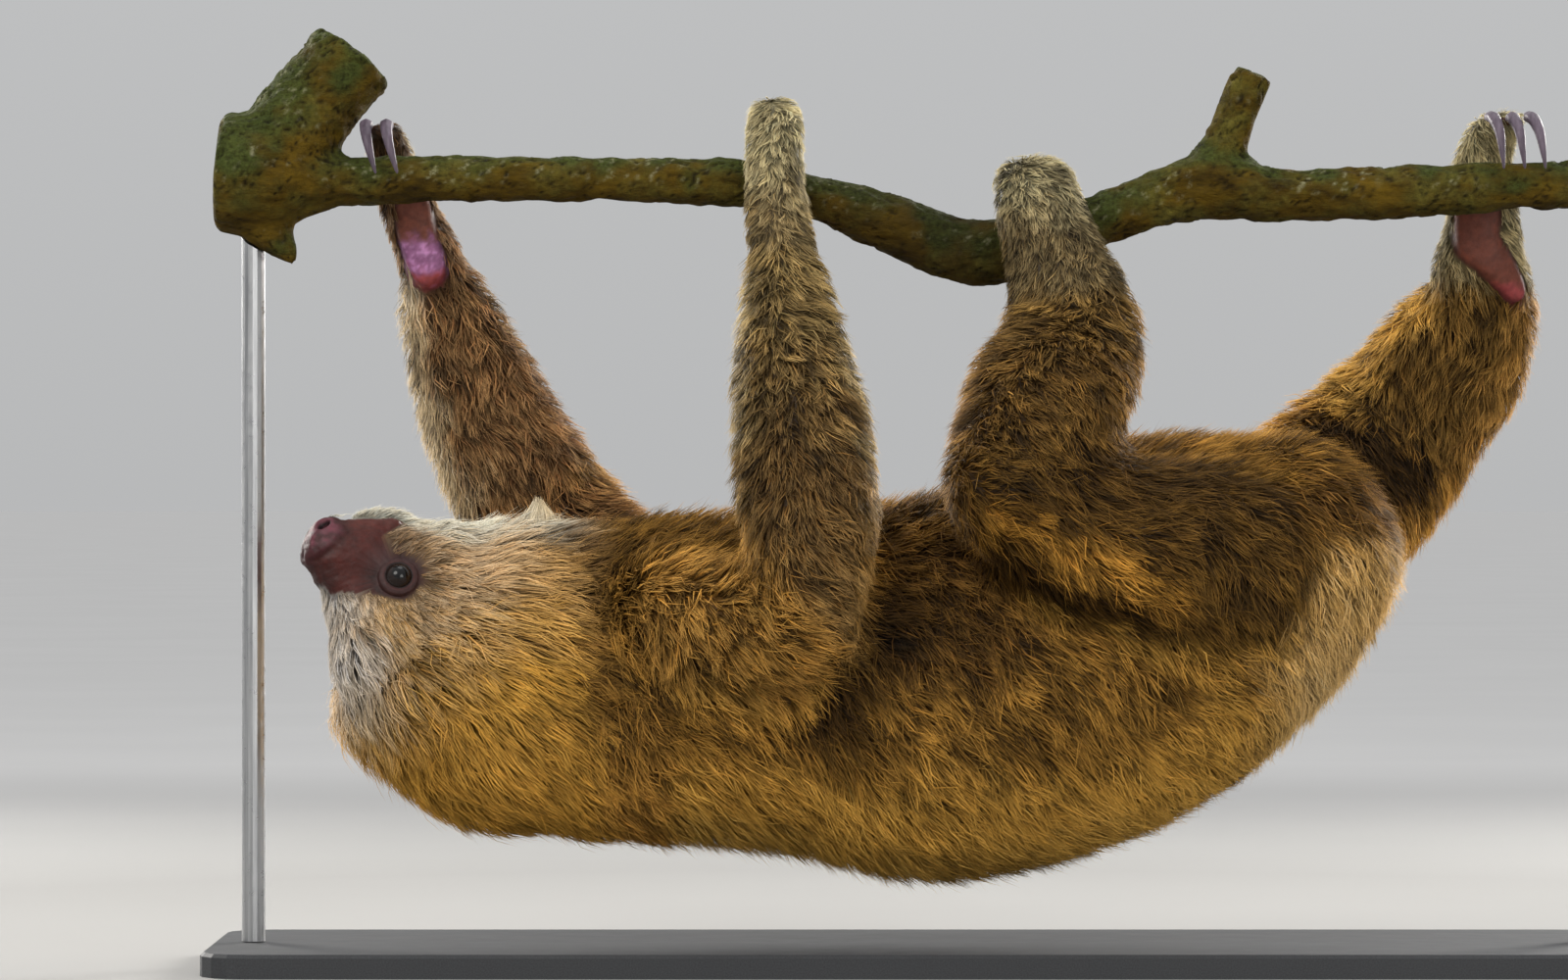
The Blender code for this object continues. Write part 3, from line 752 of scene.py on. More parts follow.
def claw_root(name):
    """Middle of a claw's end in the toe."""
    points = read_points(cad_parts[name].data)
    far = length_of(points - box_centre(name.removeprefix("claw_")[:-2]))
    return points[far <= np.sort(far)[5]].mean(axis=0)


def bare_digits(points):
    """Near 1 on the toes by the roots of the claws."""
    return np.max([ease(7.0, 4.5, length_of(points - claw_root(name)) / MM) for name in CLAWS], axis=0)


def coat_field(points, normals, shares):
    """Depth of the skin under the outline, height and length of the coat, lock width and bareness."""
    local = HEAD.local(points)
    ahead, crown = local[:, 0], local[:, 2]
    on_head = share_of(shares, *HEAD_PARTS)
    grown = ease(14.0, 54.0, length_of((local - [6.0, 0.0, -4.0]) / [1.0, 0.85, 1.0]))
    by_eye = ease(21.0, 10.0, eye_distance(local))
    head_sizes = np.array([
        (1.0 + 9.0 * grown) * (1 - 0.6 * by_eye),
        (3.0 + 18.0 * grown**0.9) * (1 - 0.65 * by_eye),
        (0.32 + 0.46 * grown) * (1 - 0.3 * by_eye),
    ])
    sizes = (shares @ np.array([COAT_SIZES[part_of(name)] for name in FLESH])).T
    depth, length, width = sizes * (1 - on_head) + head_sizes * on_head

    facing = ease(0.15, 0.65, normals @ HEAD.ahead) * ease(-30, -10, ahead)
    brow = np.interp(crown, *BROW_SWELL) * np.where(crown < 20, ease(14, 24, ahead), facing)
    jaw = np.interp(ahead, *JAW_SWELL) * ease(-0.8, -3.4, crown - mouth_line(ahead))
    throat = np.interp(ahead, *THROAT_SWELL) * ease(-18, -27, crown)
    swell = (brow + jaw + throat) * on_head
    bare = np.maximum(bare_face(local), bare_palms(points, normals, shares))
    sunk = depth * (1 - bare) - 0.95 * swell
    height = (depth * 1.08 + 0.25 * swell) * (1 - bare)
    return sunk * MM, height * MM, length * MM, width * MM, bare


def refine(skin, centre, reach, cuts):
    """Cut the skin's faces near a place into finer ones and smooth them."""
    bm = bmesh.new()
    bm.from_mesh(skin.data)
    middle = Vector(centre)
    chosen = [edge for edge in bm.edges if all((v.co - middle).length < reach for v in edge.verts)]
    bmesh.ops.subdivide_edges(bm, edges=chosen, cuts=cuts, use_grid_fill=True)
    bmesh.ops.triangulate(bm, faces=[face for face in bm.faces if len(face.verts) > 4])
    bm.to_mesh(skin.data)
    bm.free()
    skin.data.update()
    points = read_points(skin.data)
    near = ease(reach, reach - 5 * MM, length_of(points - np.array(centre)))
    write_points(skin.data, relaxed_where(near, points, read_edges(skin.data), 6))


def throat_tip():
    """Tip of the small tuft that stands up from the throat."""
    points = read_points(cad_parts["head"].data)
    return points[np.argmax(points[:, 2])]


def flatten_tuft(skin):
    """Smooth away the solid tuft of the throat, which the coat draws in hair."""
    points, edges = read_points(skin.data), read_edges(skin.data)
    near = ease(17 * MM, 11 * MM, length_of(points - throat_tip()))
    for _ in range(6):
        points = relaxed_where(near, points, edges, 12)
    write_points(skin.data, points)


def sink(skin, depth, steps=6):
    """Draw the skin in by the coat's depth in small, smoothed steps."""
    edges = read_edges(skin.data)
    keep = ease(0.0, 3.0 * MM, np.abs(depth))
    for _ in range(steps):
        points = read_points(skin.data) - read_normals(skin.data) * (depth / steps)[:, None]
        write_points(skin.data, relaxed_where(keep, points, edges, 1))


def sculpt_face(skin):
    """Nose pad, nostrils, mouth, folds below the eyes and lids, in millimetres along the normal."""
    points, normals = read_points(skin.data), read_normals(skin.data)
    local = HEAD.local(points)
    ahead, side, crown = local[:, 0], np.abs(local[:, 1]), local[:, 2]
    on_pad = ahead - np.interp(crown, *PAD_BACK)
    rise = 0.9 * ease(-1.0, 3.0, on_pad) * ease(-26, -24, crown)
    rise -= 0.5 * bell(on_pad + 0.8, 2.0) * ease(-26, -22, crown)
    rise -= 0.5 * bell(side, 0.8) * ease(29, 32, ahead) * ease(-4, -9, crown)
    rise += 0.18 * waves(local, 8.0, 56) * ease(20, 26, ahead)

    hollow = nostril_distance(local)
    rise += 0.5 * bell(hollow - 3.6, 1.4) - 3.6 * ease(3.0, 1.4, hollow)

    lips, along = crown - mouth_line(ahead), ease(-2.5, 0.5, ahead)
    rise += (0.5 * bell(lips - 2.2, 1.6) - 0.9 * bell(lips, 0.7)) * along
    rise -= 0.8 * bell(np.hypot(ahead + 1.0, crown + 26.4), 1.5)
    rise += 0.8 * bell(np.hypot(ahead - 3.5, crown + 25.0), 2.4)

    around = eye_distance(local)
    below = ease(3.0, -3.0, crown + 3.0 - 0.4 * ahead) * ease(14, 6, ahead)
    rise += 0.35 * bell(around - 8.2, 1.4) - 0.60 * bell(around - 10.0, 1.0)
    rise -= 0.40 * bell(around - 13.2, 1.0) * below
    rise += 0.12 * waves(local, 5.0, 57) * ease(30, 24, ahead)
    rise *= ease(38, 34, length_of(local - [10, 0, -6]))
    write_points(skin.data, shape_lids(points + normals * (rise * MM)[:, None]))


def shape_lids(points):
    """Wrap the skin round each eyeball: hidden behind its front, thick at the lids' margin."""
    for name, sign in EYES:
        low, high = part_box(name)
        radius = (high[0] - low[0]) / 2 / MM
        outward, distance, angle = about_eye(points, name, sign)
        beyond = angle - LID_OPENING
        hold = ease(44, 12, beyond) * (distance < radius + 12)
        shaped = distance * (1 - hold) + (radius + np.interp(beyond, *LID_RISE)) * hold
        points = box_centre(name) + outward * (shaped * MM)[:, None]
    return points


def smooth_round_eyes(points, edges):
    """Relax the skin beyond the lids' margin near each eye."""
    near = np.zeros(len(points))
    for name, sign in EYES:
        _, distance, angle = about_eye(points, name, sign)
        near = np.maximum(near, ease(74, 84, angle) * ease(20, 15, distance))
    return shape_lids(relaxed_where(near, points, edges, 6))


# ---------------------------------------------------------------- markings


def fold_rim_light_and_shade(points, colour):
    """Painted rim light as golden hair along the lower edges of the near arm and knee, and painted shadow as
    dark coat behind them.
    """
    side = ease(-0.01, -0.03, points[:, 1])
    for node, start, end, reach in FOLDS:
        offset = (points - node_box(node)[0])[:, [0, 2]] / MM - start
        step = np.subtract(end, start)
        size = math.hypot(*step)
        along = offset @ step / size
        past = offset @ [-step[1], step[0]] / size + 2.0 * waves(points, 10 * MM, 9)
        beside = side * ease(-25, 0, along) * ease(size + 15, size - 15, along)
        behind = ease(-1, 5, past) * ease(reach, 0.3 * reach, past)
        colour = layered(
            colour,
            # painted rim light along the edge, then painted shadow on the coat behind it
            (HUE.gold * [0.9, 0.75, 0.45], beside * bell(past + 8, 8) * 0.7),
            (HUE.dark * [0.42, 0.38, 0.2], beside * behind * 0.92),
        )
    return colour


def trunk_markings(points, normals):
    """Dark upper flank, darkest by the near arm as painted shade, golden brown lower down, tan along the
    back, partly painted light from below, paler along the belly.
    """
    patch = waves(points, 60 * MM, 3)
    up = normals[:, 2] + 0.12 * patch
    rear = points[:, 0] / MM
    low, high = node_box("pelvis")
    hip = (points - low - (high - low) * [0.33, 0.0, 0.45])[:, [0, 2]] / MM
    return layered(
        # tan and golden brown on the downward-facing back: partly the coat's paler fur, partly painted light
        # from below
        HUE.tan * [1.0, 1.12, 1.1],
        (HUE.brown * [1.7, 1.95, 1.8], ease(-0.88, -0.62, up)),
        (HUE.umber, ease(-0.72, -0.30, up)),
        # darker toward the front, beside the near arm: painted shade
        (HUE.dark * (1.5 + 0.65 * ease(0, 45, rear))[:, None], ease(-0.10, 0.25, up)),
        # tan at the rump: partly the coat's colour, partly painted rim light
        (HUE.tan * [0.98, 1.26, 2.4], ease(120, 180, rear + 12 * patch) * ease(0.4, -0.2, up) * 0.9),
        (HUE.umber * 0.6, ease(40, 15, length_of(hip)) * 0.5),
        (HUE.umber, ease(0.70, 0.98, normals[:, 2]) * 0.9),
    )


def outer_limb(part, height, edge):
    """Colours of a limb's outer side, with painted rim light along its edges."""
    if part == "upper_arm":
        return mix(HUE.umber * [1.4, 1.35, 0.9], HUE.brown * [0.95, 0.92, 0.6], ease(0.2, 1.0, height))
    if part == "forearm":
        return layered(
            HUE.umber,
            (HUE.dark, bell(height - 0.45, 0.30) * 0.7),
            (HUE.umber * 1.9, ease(0.30, 0.0, height) * 0.7),
            (HUE.grey_brown * [0.94, 0.94, 0.84], ease(0.45, 0.95, height)),
            # painted rim light: cream and gold along the edges
            (HUE.grey_cream, edge * ease(0.2, 0.6, height) * 0.4),
            (HUE.gold * [0.8, 0.72, 0.45], edge * ease(0.6, 0.2, height) * 0.6),
        )
    if part == "hand":
        return mix(HUE.grey_brown * 0.9, HUE.grey_cream * 1.08, ease(0.15, 0.75, height))
    if part == "thigh":
        return mix(HUE.umber * 0.42, HUE.dark * 0.8, ease(0.25, 0.7, height) * 0.5)
    if part == "shank":
        return layered(
            HUE.umber * [0.40, 0.38, 0.18],
            (HUE.umber * 0.60, ease(0.1, 0.5, height)),
            (HUE.grey_brown * [0.85, 0.82, 0.65], ease(0.55, 1.0, height) * 0.5),
            # painted rim light: brown along the edges
            (HUE.brown, edge * 0.3),
        )
    return mix(HUE.grey_brown * 0.62, HUE.grey_cream * 0.78, ease(0.35, 0.85, height))


def inner_limb(part, across, height, edge, normals, patch):
    """Colours of a limb's inner side, as the far limbs turn it to the animal's right, with painted rim light
    along the edges of the arm.
    """
    if part == "upper_arm":
        # painted rim light: tan along the edges
        return mix(HUE.rust, HUE.tan, edge * 0.5)
    if part == "forearm":
        # painted rim light: cream where the forearm faces toward the head, at its outline
        rim = ease(0.30, 0.95, -normals[:, 0] + 0.15 * patch)
        return layered(HUE.rust, (HUE.dark, bell(across - 0.45, 0.25) * 0.35), (HUE.cream, rim * 0.75))
    if part == "hand":
        return mix(HUE.rust, HUE.dark, ease(0.4, 0.9, height) * 0.7)
    slant = normals @ unit(np.array([0.8, 0.0, -0.6])) + 0.12 * patch
    if part == "thigh":
        shade = (HUE.dark * 0.7, ease(-0.92, -0.50, slant))
        return layered(HUE.brown, shade, (HUE.brown, ease(0.40, 0.80, slant) * 0.9))
    if part == "shank":
        shade = (HUE.dark * 0.7, ease(-0.92, -0.35, slant) * 0.9)
        return layered(HUE.tan * [0.9, 0.9, 0.6], shade, (HUE.brown, ease(0.45, 0.9, slant) * 0.8))
    return mix(HUE.grey_brown, HUE.grey_cream, ease(-0.2, 0.7, height))


def head_markings(points):
    """White before the face, tan to gold on the skull, dark at the back, cream at the throat."""
    local = HEAD.local(points)
    ahead, crown = local[:, 0], local[:, 2]
    patch, fine = waves(points, 35 * MM, 5), waves(points, 12 * MM, 6)
    back = ease(-40, -70, ahead + 0.14 * crown + 6 * patch + 6 * fine) * ease(66, 38, crown)
    edge = ease(6, 26, ahead + 0.45 * (crown - 12) + 3 * patch + 3 * fine) * ease(88, 50, crown)
    streak = ease(0.1, 0.8, waves(local * [0.35, 1.0, 1.0], 5.0, 8)) * ease(60, 30, np.abs(crown - 20))
    beside = bell(np.hypot(ahead - 2, crown + 14), 11.0) + 0.8 * bell(np.hypot(ahead + 13, crown + 3), 8.0)
    return layered(
        HUE.cheek,
        (HUE.gold * [1.0, 1.0, 0.7], ease(-6, 34, crown + 6 * patch)),
        (HUE.olive_gold, ease(28, 60, crown + 8 * patch) * 0.8),
        (HUE.cream * [0.95, 1.08, 1.22], ease(-16, -27, crown + 3 * patch) * ease(-84, -54, ahead)),
        (HUE.dark, back * 0.9),
        (mix(HUE.white, HUE.cream * 0.9, ease(30, 52, crown)), edge * 0.9),
        (HUE.russet, streak * 0.22),
        (HUE.russet, np.clip(beside, 0, 1) * 0.85),
    )


def part_markings(points, normals, name):
    """Colours of the coat on one part of the body."""
    if name in HEAD_PARTS:
        return head_markings(points)
    if name == "neck":
        return mix(HUE.umber * 0.62, HUE.brown * 0.7, ease(0.1, -0.8, normals[:, 2]))
    if name in TRUNK:
        return fold_rim_light_and_shade(points, trunk_markings(points, normals))
    part = part_of(name)
    low, high = node_box(name)
    across, _, height = ((points - low) / (high - low)).T
    patch = waves(points, 24 * MM, 7)
    height = height + 0.08 * patch
    # sides facing along X, at the limb's outline: the paler colours laid there are painted rim light
    edge = ease(0.55, 1.0, np.abs(normals[:, 0]) + 0.1 * patch)
    outer = outer_limb(part, height, edge)
    if name.endswith("left"):
        inner = inner_limb(part, across, height, edge, normals, patch)
        return mix(inner, outer, ease(0.0, 0.6, normals[:, 1]))
    return fold_rim_light_and_shade(points, outer) if part in ("upper_arm", "thigh") else outer


def markings(points, normals, shares):
    """The coat's colours at each vertex, blended over all parts."""
    colour = np.zeros((len(points), 3))
    for name, held in zip(FLESH, shares.T):
        near = held > 1e-4
        colour[near] += part_markings(points[near], normals[near], name) * held[near, None]
    small = 0.24 - 0.14 * share_of(shares, *HEAD_PARTS)
    mottle = 1.0 + small * waves(points, 11 * MM, 11) + 0.12 * waves(points, 45 * MM, 13)
    return colour * mottle.clip(0.4, 1.7)[:, None]


def tip_colours(points, shares):
    """Colour toward which the hair pales at its tips: pale at the face and hands, golden on the trunk."""
    local = HEAD.local(points)
    behind = length_of(local - [6, 0, -4])
    pale = ease(120, 190, points[:, 0] / MM) * ease(0.17, 0.08, points[:, 2])
    for end, share in (("hand", 1.0), ("foot", 1.0), ("forearm", 0.6), ("shank", 0.2), ("upper_arm", 0.3)):
        pale += share_of(shares, *(f"{end}_{side}" for side in SIDES)) * share
    return layered(
        HUE.tip_white,
        (HUE.tip_gold, ease(26, 68, behind)),
        (HUE.tip_white, ease(-14, -26, local[:, 2]) * ease(90, 60, behind)),
        (HUE.tip_cream, np.clip(pale, 0, 1)),
    )


def face_colours(local):
    """Colours of the naked face: muzzle, lips, nose pad, nostrils and lids, with a painted highlight on the
    nose pad, and painted shade in the pad's groove, the nostrils, the mouth's line, the crease round each eye
    and on the nose's crown side.
    """
    ahead, crown = local[:, 0], local[:, 2]
    blotch = waves(local, 12.0, 61)
    on_pad = ahead - np.interp(crown, *PAD_BACK)
    around = eye_distance(local)
    face = layered(
        HUE.muzzle,
        (HUE.lip, ease(-17, -25, crown + 3 * blotch) * 0.8),
        (HUE.nose, ease(-2, 3, on_pad) * 0.9),
        # painted highlight in blotches on the nose pad
        (HUE.nose_painted_highlight, ease(0, 6, on_pad) * ease(-0.6, 0.9, blotch + 0.08 * (-crown - 16)) * 0.75),
        # painted shade in the groove behind the nose pad
        (HUE.socket, bell(on_pad + 0.8, 2.2) * 0.3),
        # painted shade on the nose's crown side
        (HUE.socket, ease(20, 27, ahead) * ease(-6, 3, crown + blotch) * 0.4),
        # painted shade inside the nostrils
        (HUE.socket * 0.05, ease(3.0, 2.3, nostril_distance(local))),
        # painted shade in the crease round the lid ring
        (HUE.socket, bell(around - 10.2, 1.6) * 0.8),
        (HUE.lid, bell(around - 7.8, 1.7) * 0.9),
        (HUE.socket * 0.5, ease(6.4, 5.7, around)),
        # painted shade along the mouth's line
        (HUE.socket * 0.6, bell(crown - mouth_line(ahead), 0.6) * ease(-2.5, 0.5, ahead) * 0.8),
    )
    return face * (1 + 0.12 * waves(local, 3.5, 62))[:, None]


def pad_colours(points, node, middle, top, light):
    """Colours of one naked palm or sole by height, with lighter blotches, partly the pad's own mottling and
    partly painted highlights, and a dark rim.
    """
    rise = (points[:, 2] - node_box(node)[0][2]) / MM + 2.0 * waves(points, 9 * MM, 59)
    blotch = ease(0.1, 0.9, waves(points, 6 * MM, 63)) * bell(rise - 8, 8)
    tone = layered(
        HUE.heel,
        (middle, ease(-3, 4, rise)),
        # lighter blotches: partly mottling, partly painted highlights of moist skin
        (HUE.palm_blotch_and_highlight, blotch * light),
        (top, ease(11, 18, rise)),
        (HUE.socket, ease(-2.6, -0.4, pad_distance(points, node)) * 0.55),
    )
    return tone * (1 + 0.16 * waves(points, 4 * MM, 64))[:, None]


def bare_colours(points, shares):
    """Colours of naked skin on the face, the palms and the soles."""
    pads = np.zeros((len(points), 3))
    total = np.zeros(len(points))
    ends = (("hand", "forearm", HUE.palm, HUE.palm_top, 0.8), ("foot", "shank", HUE.sole, HUE.sole, 0.0))
    for end, above, middle, top, light in ends:
        for side in SIDES:
            node = f"{end}_{side}"
            share = share_of(shares, node, f"{above}_{side}")
            pads += pad_colours(points, node, middle, top, light) * share[:, None]
            total += share
    pads /= np.maximum(total, 1e-6)[:, None]
    return mix(face_colours(HEAD.local(points)), pads, ease(0.3, 0.6, total))


# ---------------------------------------------------------------- lie of the coat


def comb_field(points, normals, shares):
    """Unit direction of the hair along the skin at each vertex."""
    flow = np.zeros((len(points), 3))
    for node, combs in COMBS.items():
        for share, direction in combs:
            reach = length_of(points - box_place(node, share))
            flow += unit(np.array(direction)) * (1.0 / (1.0 + (reach / COMB_REACH) ** 4))[:, None]
    on_head = share_of(shares, *HEAD_PARTS)
    local = HEAD.local(points)
    radial = unit(unit(points - HEAD.world(26, 0, -8)) + np.array([0.15, 0.0, -0.12]))
    from_eye = (local[:, 0] + 0.8)[:, None] * HEAD.ahead + (local[:, 2] + 3.2)[:, None] * HEAD.crown
    by_eye = ease(24.0, 11.0, eye_distance(local)) * 0.8
    radial = unit(radial + unit(from_eye) * by_eye[:, None])
    flow = unit(mix(unit(flow), radial, on_head))
    flow = unit(flow - normals * np.sum(flow * normals, axis=1, keepdims=True))
    turn = (0.30 * waves(points, 55 * MM, 17) + 0.34 * waves(points, 15 * MM, 19)) * (1 - 0.55 * on_head)
    return unit(flow * np.cos(turn)[:, None] + np.cross(normals, flow) * np.sin(turn)[:, None])


# ---------------------------------------------------------------- the finished skin


class Surface:
    """The finished skin as arrays, for roots and paths of locks."""

    def __init__(self, mesh):
        self.corners = read_triangles(mesh)
        self.points = read_points(mesh)
        self.normals = unit(relaxed(read_normals(mesh), read_edges(mesh), 3))
        self.area = triangle_areas(self.points, self.corners)
        self.tree = make_tree(self.points)

    def scatter(self, density, count, rng):
        """Random roots with the given density at each vertex."""
        weight = self.area * density[self.corners].mean(axis=1)
        return random_roots(self.corners, weight, count, rng)

    def nearest(self, points):
        return np.array([self.tree.find(point)[1] for point in points])


def shape_skin():
    """All flesh as one skin, drawn in by the coat's depth and with the face worked into it."""
    skin = whole_flesh()
    points, edges = read_points(skin.data), read_edges(skin.data)
    sunk, *_ = coat_field(points, read_normals(skin.data), region_shares(points, edges))
    sink(skin, relaxed(sunk, edges, 3))
    flatten_tuft(skin)
    refine(skin, HEAD.world(*FACE_CENTRE), *FACE_CUT)
    for name in PADS:
        low, high = node_box(name)
        refine(skin, (*(low + high)[:2] / 2, low[2] + PAD_RISE), *PAD_CUT)
    sculpt_face(skin)
    points, edges = read_points(skin.data), read_edges(skin.data)
    for _ in range(3):
        points = smooth_round_eyes(points, edges)
    write_points(skin.data, points)
    return skin, points, edges


def build_skin():
    """The one skin in place of all flesh nodes, with the fields that the coat is grown from."""
    skin, points, edges = shape_skin()
    normals = unit(relaxed(read_normals(skin.data), edges, 8))
    shares = region_shares(points + normals * 6 * MM, edges)
    _, height, length, width, bare = coat_field(points, normals, shares)
    colour = markings(points, normals, shares)
    shown = np.maximum(bare, bare_digits(points))
    tint = mix(colour * UNDER_COAT, bare_colours(points, shares), shown)
    set_colours(skin.data, "Tint", tint.clip(0.0, 0.9))
    ahead, _, crown = HEAD.local(points).T
    wet = ease(23, 29, ahead) * 0.35 + bell(np.hypot(ahead - 1, crown + 26.0), 3.0)
    set_colours(skin.data, "Wet", np.repeat(wet.clip(0, 1)[:, None], 3, axis=1))
    skin.data.shade_smooth()
    material = skin_material()
    show(skin, material, "bare_skin", *FLESH)

    surface = Surface(skin.data)
    hairy = 1.0 - ease(0.35, 0.65, shown)
    fields = {
        "lie": unit(relaxed(comb_field(points, surface.normals, shares), edges, 3)),
        "length": length,
        "width": width,
        "height": height,
        "colour": colour,
        "tip": tip_colours(points, shares),
        "curl": 1 - 0.8 * share_of(shares, *HEAD_PARTS),
        "part": np.argmax(shares, axis=1),
        "density": hairy / np.maximum(width * length, 1e-7) ** 0.75,
        "long": ease(0.3, 0.7, share_of(shares, *LONG_PARTS)),
    }
    return material, surface, fields


# ---------------------------------------------------------------- coat of locks


def lock_paths(surface, lie, roots, lengths, turns, rings):
    """March each lock along the skin by the lie of the coat; feet of its rings, normals and headings."""
    place = at_roots(surface.points, roots)
    normal = unit(at_roots(surface.normals, roots))
    heading = unit(at_roots(lie, roots))
    steps = [(place, normal, heading)]
    for _ in range(rings - 1):
        across = np.cross(normal, heading)
        step = heading * np.cos(turns)[:, None] + across * np.sin(turns)[:, None]
        ahead = place + step * (lengths / (rings - 1))[:, None]
        near = surface.nearest(ahead)
        normal = unit(normal + surface.normals[near] * 1.5)
        lift = np.sum((ahead - surface.points[near]) * surface.normals[near], axis=1)
        place = ahead - surface.normals[near] * lift.clip(*LIFT_RANGE)[:, None]
        heading = lie[near] * 0.7 + heading * 0.3
        heading = unit(heading - normal * np.sum(heading * normal, axis=1, keepdims=True))
        steps.append((place, normal, heading))
    return [np.stack(rows, axis=1) for rows in zip(*steps)]


def build_locks(surface, fields, kind, wanted, rng):
    """Closed three-sided locks as arrays of points, colours, root places and parts."""
    count, rings, guide_share = LOCKS[kind]
    roots = surface.scatter(fields["density"] * wanted, count, rng)
    length = at_roots(fields["length"], roots) * rng.uniform(*LENGTH_RANGE, count)
    width = at_roots(fields["width"], roots) * rng.uniform(*WIDTH_RANGE, count)
    height = at_roots(fields["height"], roots)
    curl = at_roots(fields["curl"], roots)
    wisp = rng.random(count) < WISP_SHARE * (0.4 + 0.6 * curl)
    turns = rng.normal(0, 0.07, count) * (1 + 1.5 * curl) + wisp * rng.normal(0, 0.40, count)
    feet, ups, headings = lock_paths(surface, fields["lie"], roots, length, turns, rings)

    t = np.linspace(0, 1, rings)
    layer = rng.uniform(0.0, 1.0, count)
    stand = 0.65 + 0.48 * layer + wisp * rng.uniform(0.05, 0.35, count)
    rise = height[:, None] * stand[:, None] * (1 - (1 - t) ** 1.6)
    path = feet + ups * rise[:, :, None]
    path[:, 0] -= ups[:, 0] * ROOT_DEPTH
    bend = rng.normal(0, 1.0, (count, rings, 1)) * (length * (0.025 + 0.095 * curl))[:, None, None]
    bend[:, 0] = 0
    path += np.cross(headings, ups) * bend

    guides = rng.choice(count, int(count * guide_share), replace=False)
    guide_tree = make_tree(path[guides, 0])
    mine = guides[[guide_tree.find(point)[1] for point in path[:, 0]]]
    pull = rng.uniform(*PULL_RANGE, count)[:, None] * t**1.3 * ~wisp[:, None]
    pull *= ease(*GUIDE_REACH, length_of(path[:, 0] - path[mine, 0]))[:, None]
    path += (path[mine] - path) * pull[:, :, None]

    contrast = 0.45 + 0.55 * curl
    light = 1 + rng.normal(0.0, 0.42, count).clip(-0.75, 1.0)[mine] * contrast
    # painted shade on locks lying low in the coat, painted light on those standing high
    light *= 1 + (0.95 * layer - 0.48) * contrast
    light *= rng.normal(1.0, 0.16, count).clip(0.5, 1.6) * (1 + 0.25 * wisp)
    warm = rng.normal(0.0, 0.05, count)
    tint = np.stack([1 + warm, np.ones(count), 1 - 1.4 * warm], axis=1)
    return {
        "path": path,
        "ups": ups,
        "width": width * np.where(wisp, 0.5, 1.0),
        "tone": at_roots(fields["colour"], roots) * light[:, None] * tint,
        "tip": at_roots(fields["tip"], roots),
        "part": fields["part"][roots[0][:, 0]],
        "root": feet[:, 0],
    }


def build_tuft(surface, fields, rng):
    """Locks that stand up together on the throat as one small pointed tuft."""
    tip = throat_tip() + np.array([-2.5, 0.0, 1.5]) * MM
    near = np.flatnonzero(length_of(surface.points - tip) < TUFT_REACH)
    near = near[fields["long"][near] > 0.2]
    roots = rng.choice(near, TUFT_LOCKS)
    place, normal = surface.points[roots], surface.normals[roots]
    fall = rng.uniform(0, 1, (TUFT_LOCKS, 1)) * TUFT_HEIGHT
    outward = (place - tip) * [1, 1, 0]
    end = tip + outward * (fall / TUFT_SPREAD) + rng.normal(0, 0.7 * MM, (TUFT_LOCKS, 3))
    end += [0.15, 0, -1.0] * fall
    rings = LOCKS["long"][1]
    t = np.linspace(0, 1, rings)[None, :, None]
    path = place[:, None] * (1 - t) + end[:, None] * t + normal[:, None] * (t * (1 - t)) * 6 * MM
    light = rng.normal(1.0, 0.18, (TUFT_LOCKS, 1)).clip(0.6, 1.4)
    return {
        "path": path,
        "ups": np.repeat(normal[:, None], rings, axis=1),
        "width": np.full(TUFT_LOCKS, TUFT_WIDTH),
        "tone": mix(fields["colour"][roots], HUE.cream, 0.7) * light,
        "tip": mix(fields["tip"][roots], HUE.tip_cream, 0.6),
        "part": fields["part"][roots],
        "root": place,
    }


def lock_tones(tone, tip, rings):
    """Colour of each point of a lock: dark at the root, partly as painted shade, and paling toward the tip.
    """
    ring = np.append(np.repeat(np.arange(rings - 1), 3), rings - 1)
    shades = np.array(LOCK_SHADES[rings])[ring]
    pale = (ring / (rings - 1)) ** 1.5 * TIP_SHARE
    light = tip * (tone.mean(axis=1) / tip.mean(axis=1))[:, None]
    tones = mix(tone[:, None], light[:, None], pale[None])
    tones = np.maximum(tones * shades[:, None], 0.0)
    brightest = tones.max(axis=2, keepdims=True).clip(1e-6)
    return (tones * np.minimum(1.0, LIGHTEST / brightest)).reshape(-1, 3)


def lock_faces(rings):
    """Triangles of one lock: its root, its sides and its tip."""
    sides = ((0, 2), (2, 1), (1, 0))
    faces = [(0, 1, 2)]
    for base in range(0, 3 * (rings - 2), 3):
        for a, b in sides:
            faces.append((base + a, base + b, base + 3 + b))
            faces.append((base + a, base + 3 + b, base + 3 + a))
    last = 3 * (rings - 2)
    return np.array(faces + [(last + a, last + b, last + 3) for a, b in sides])


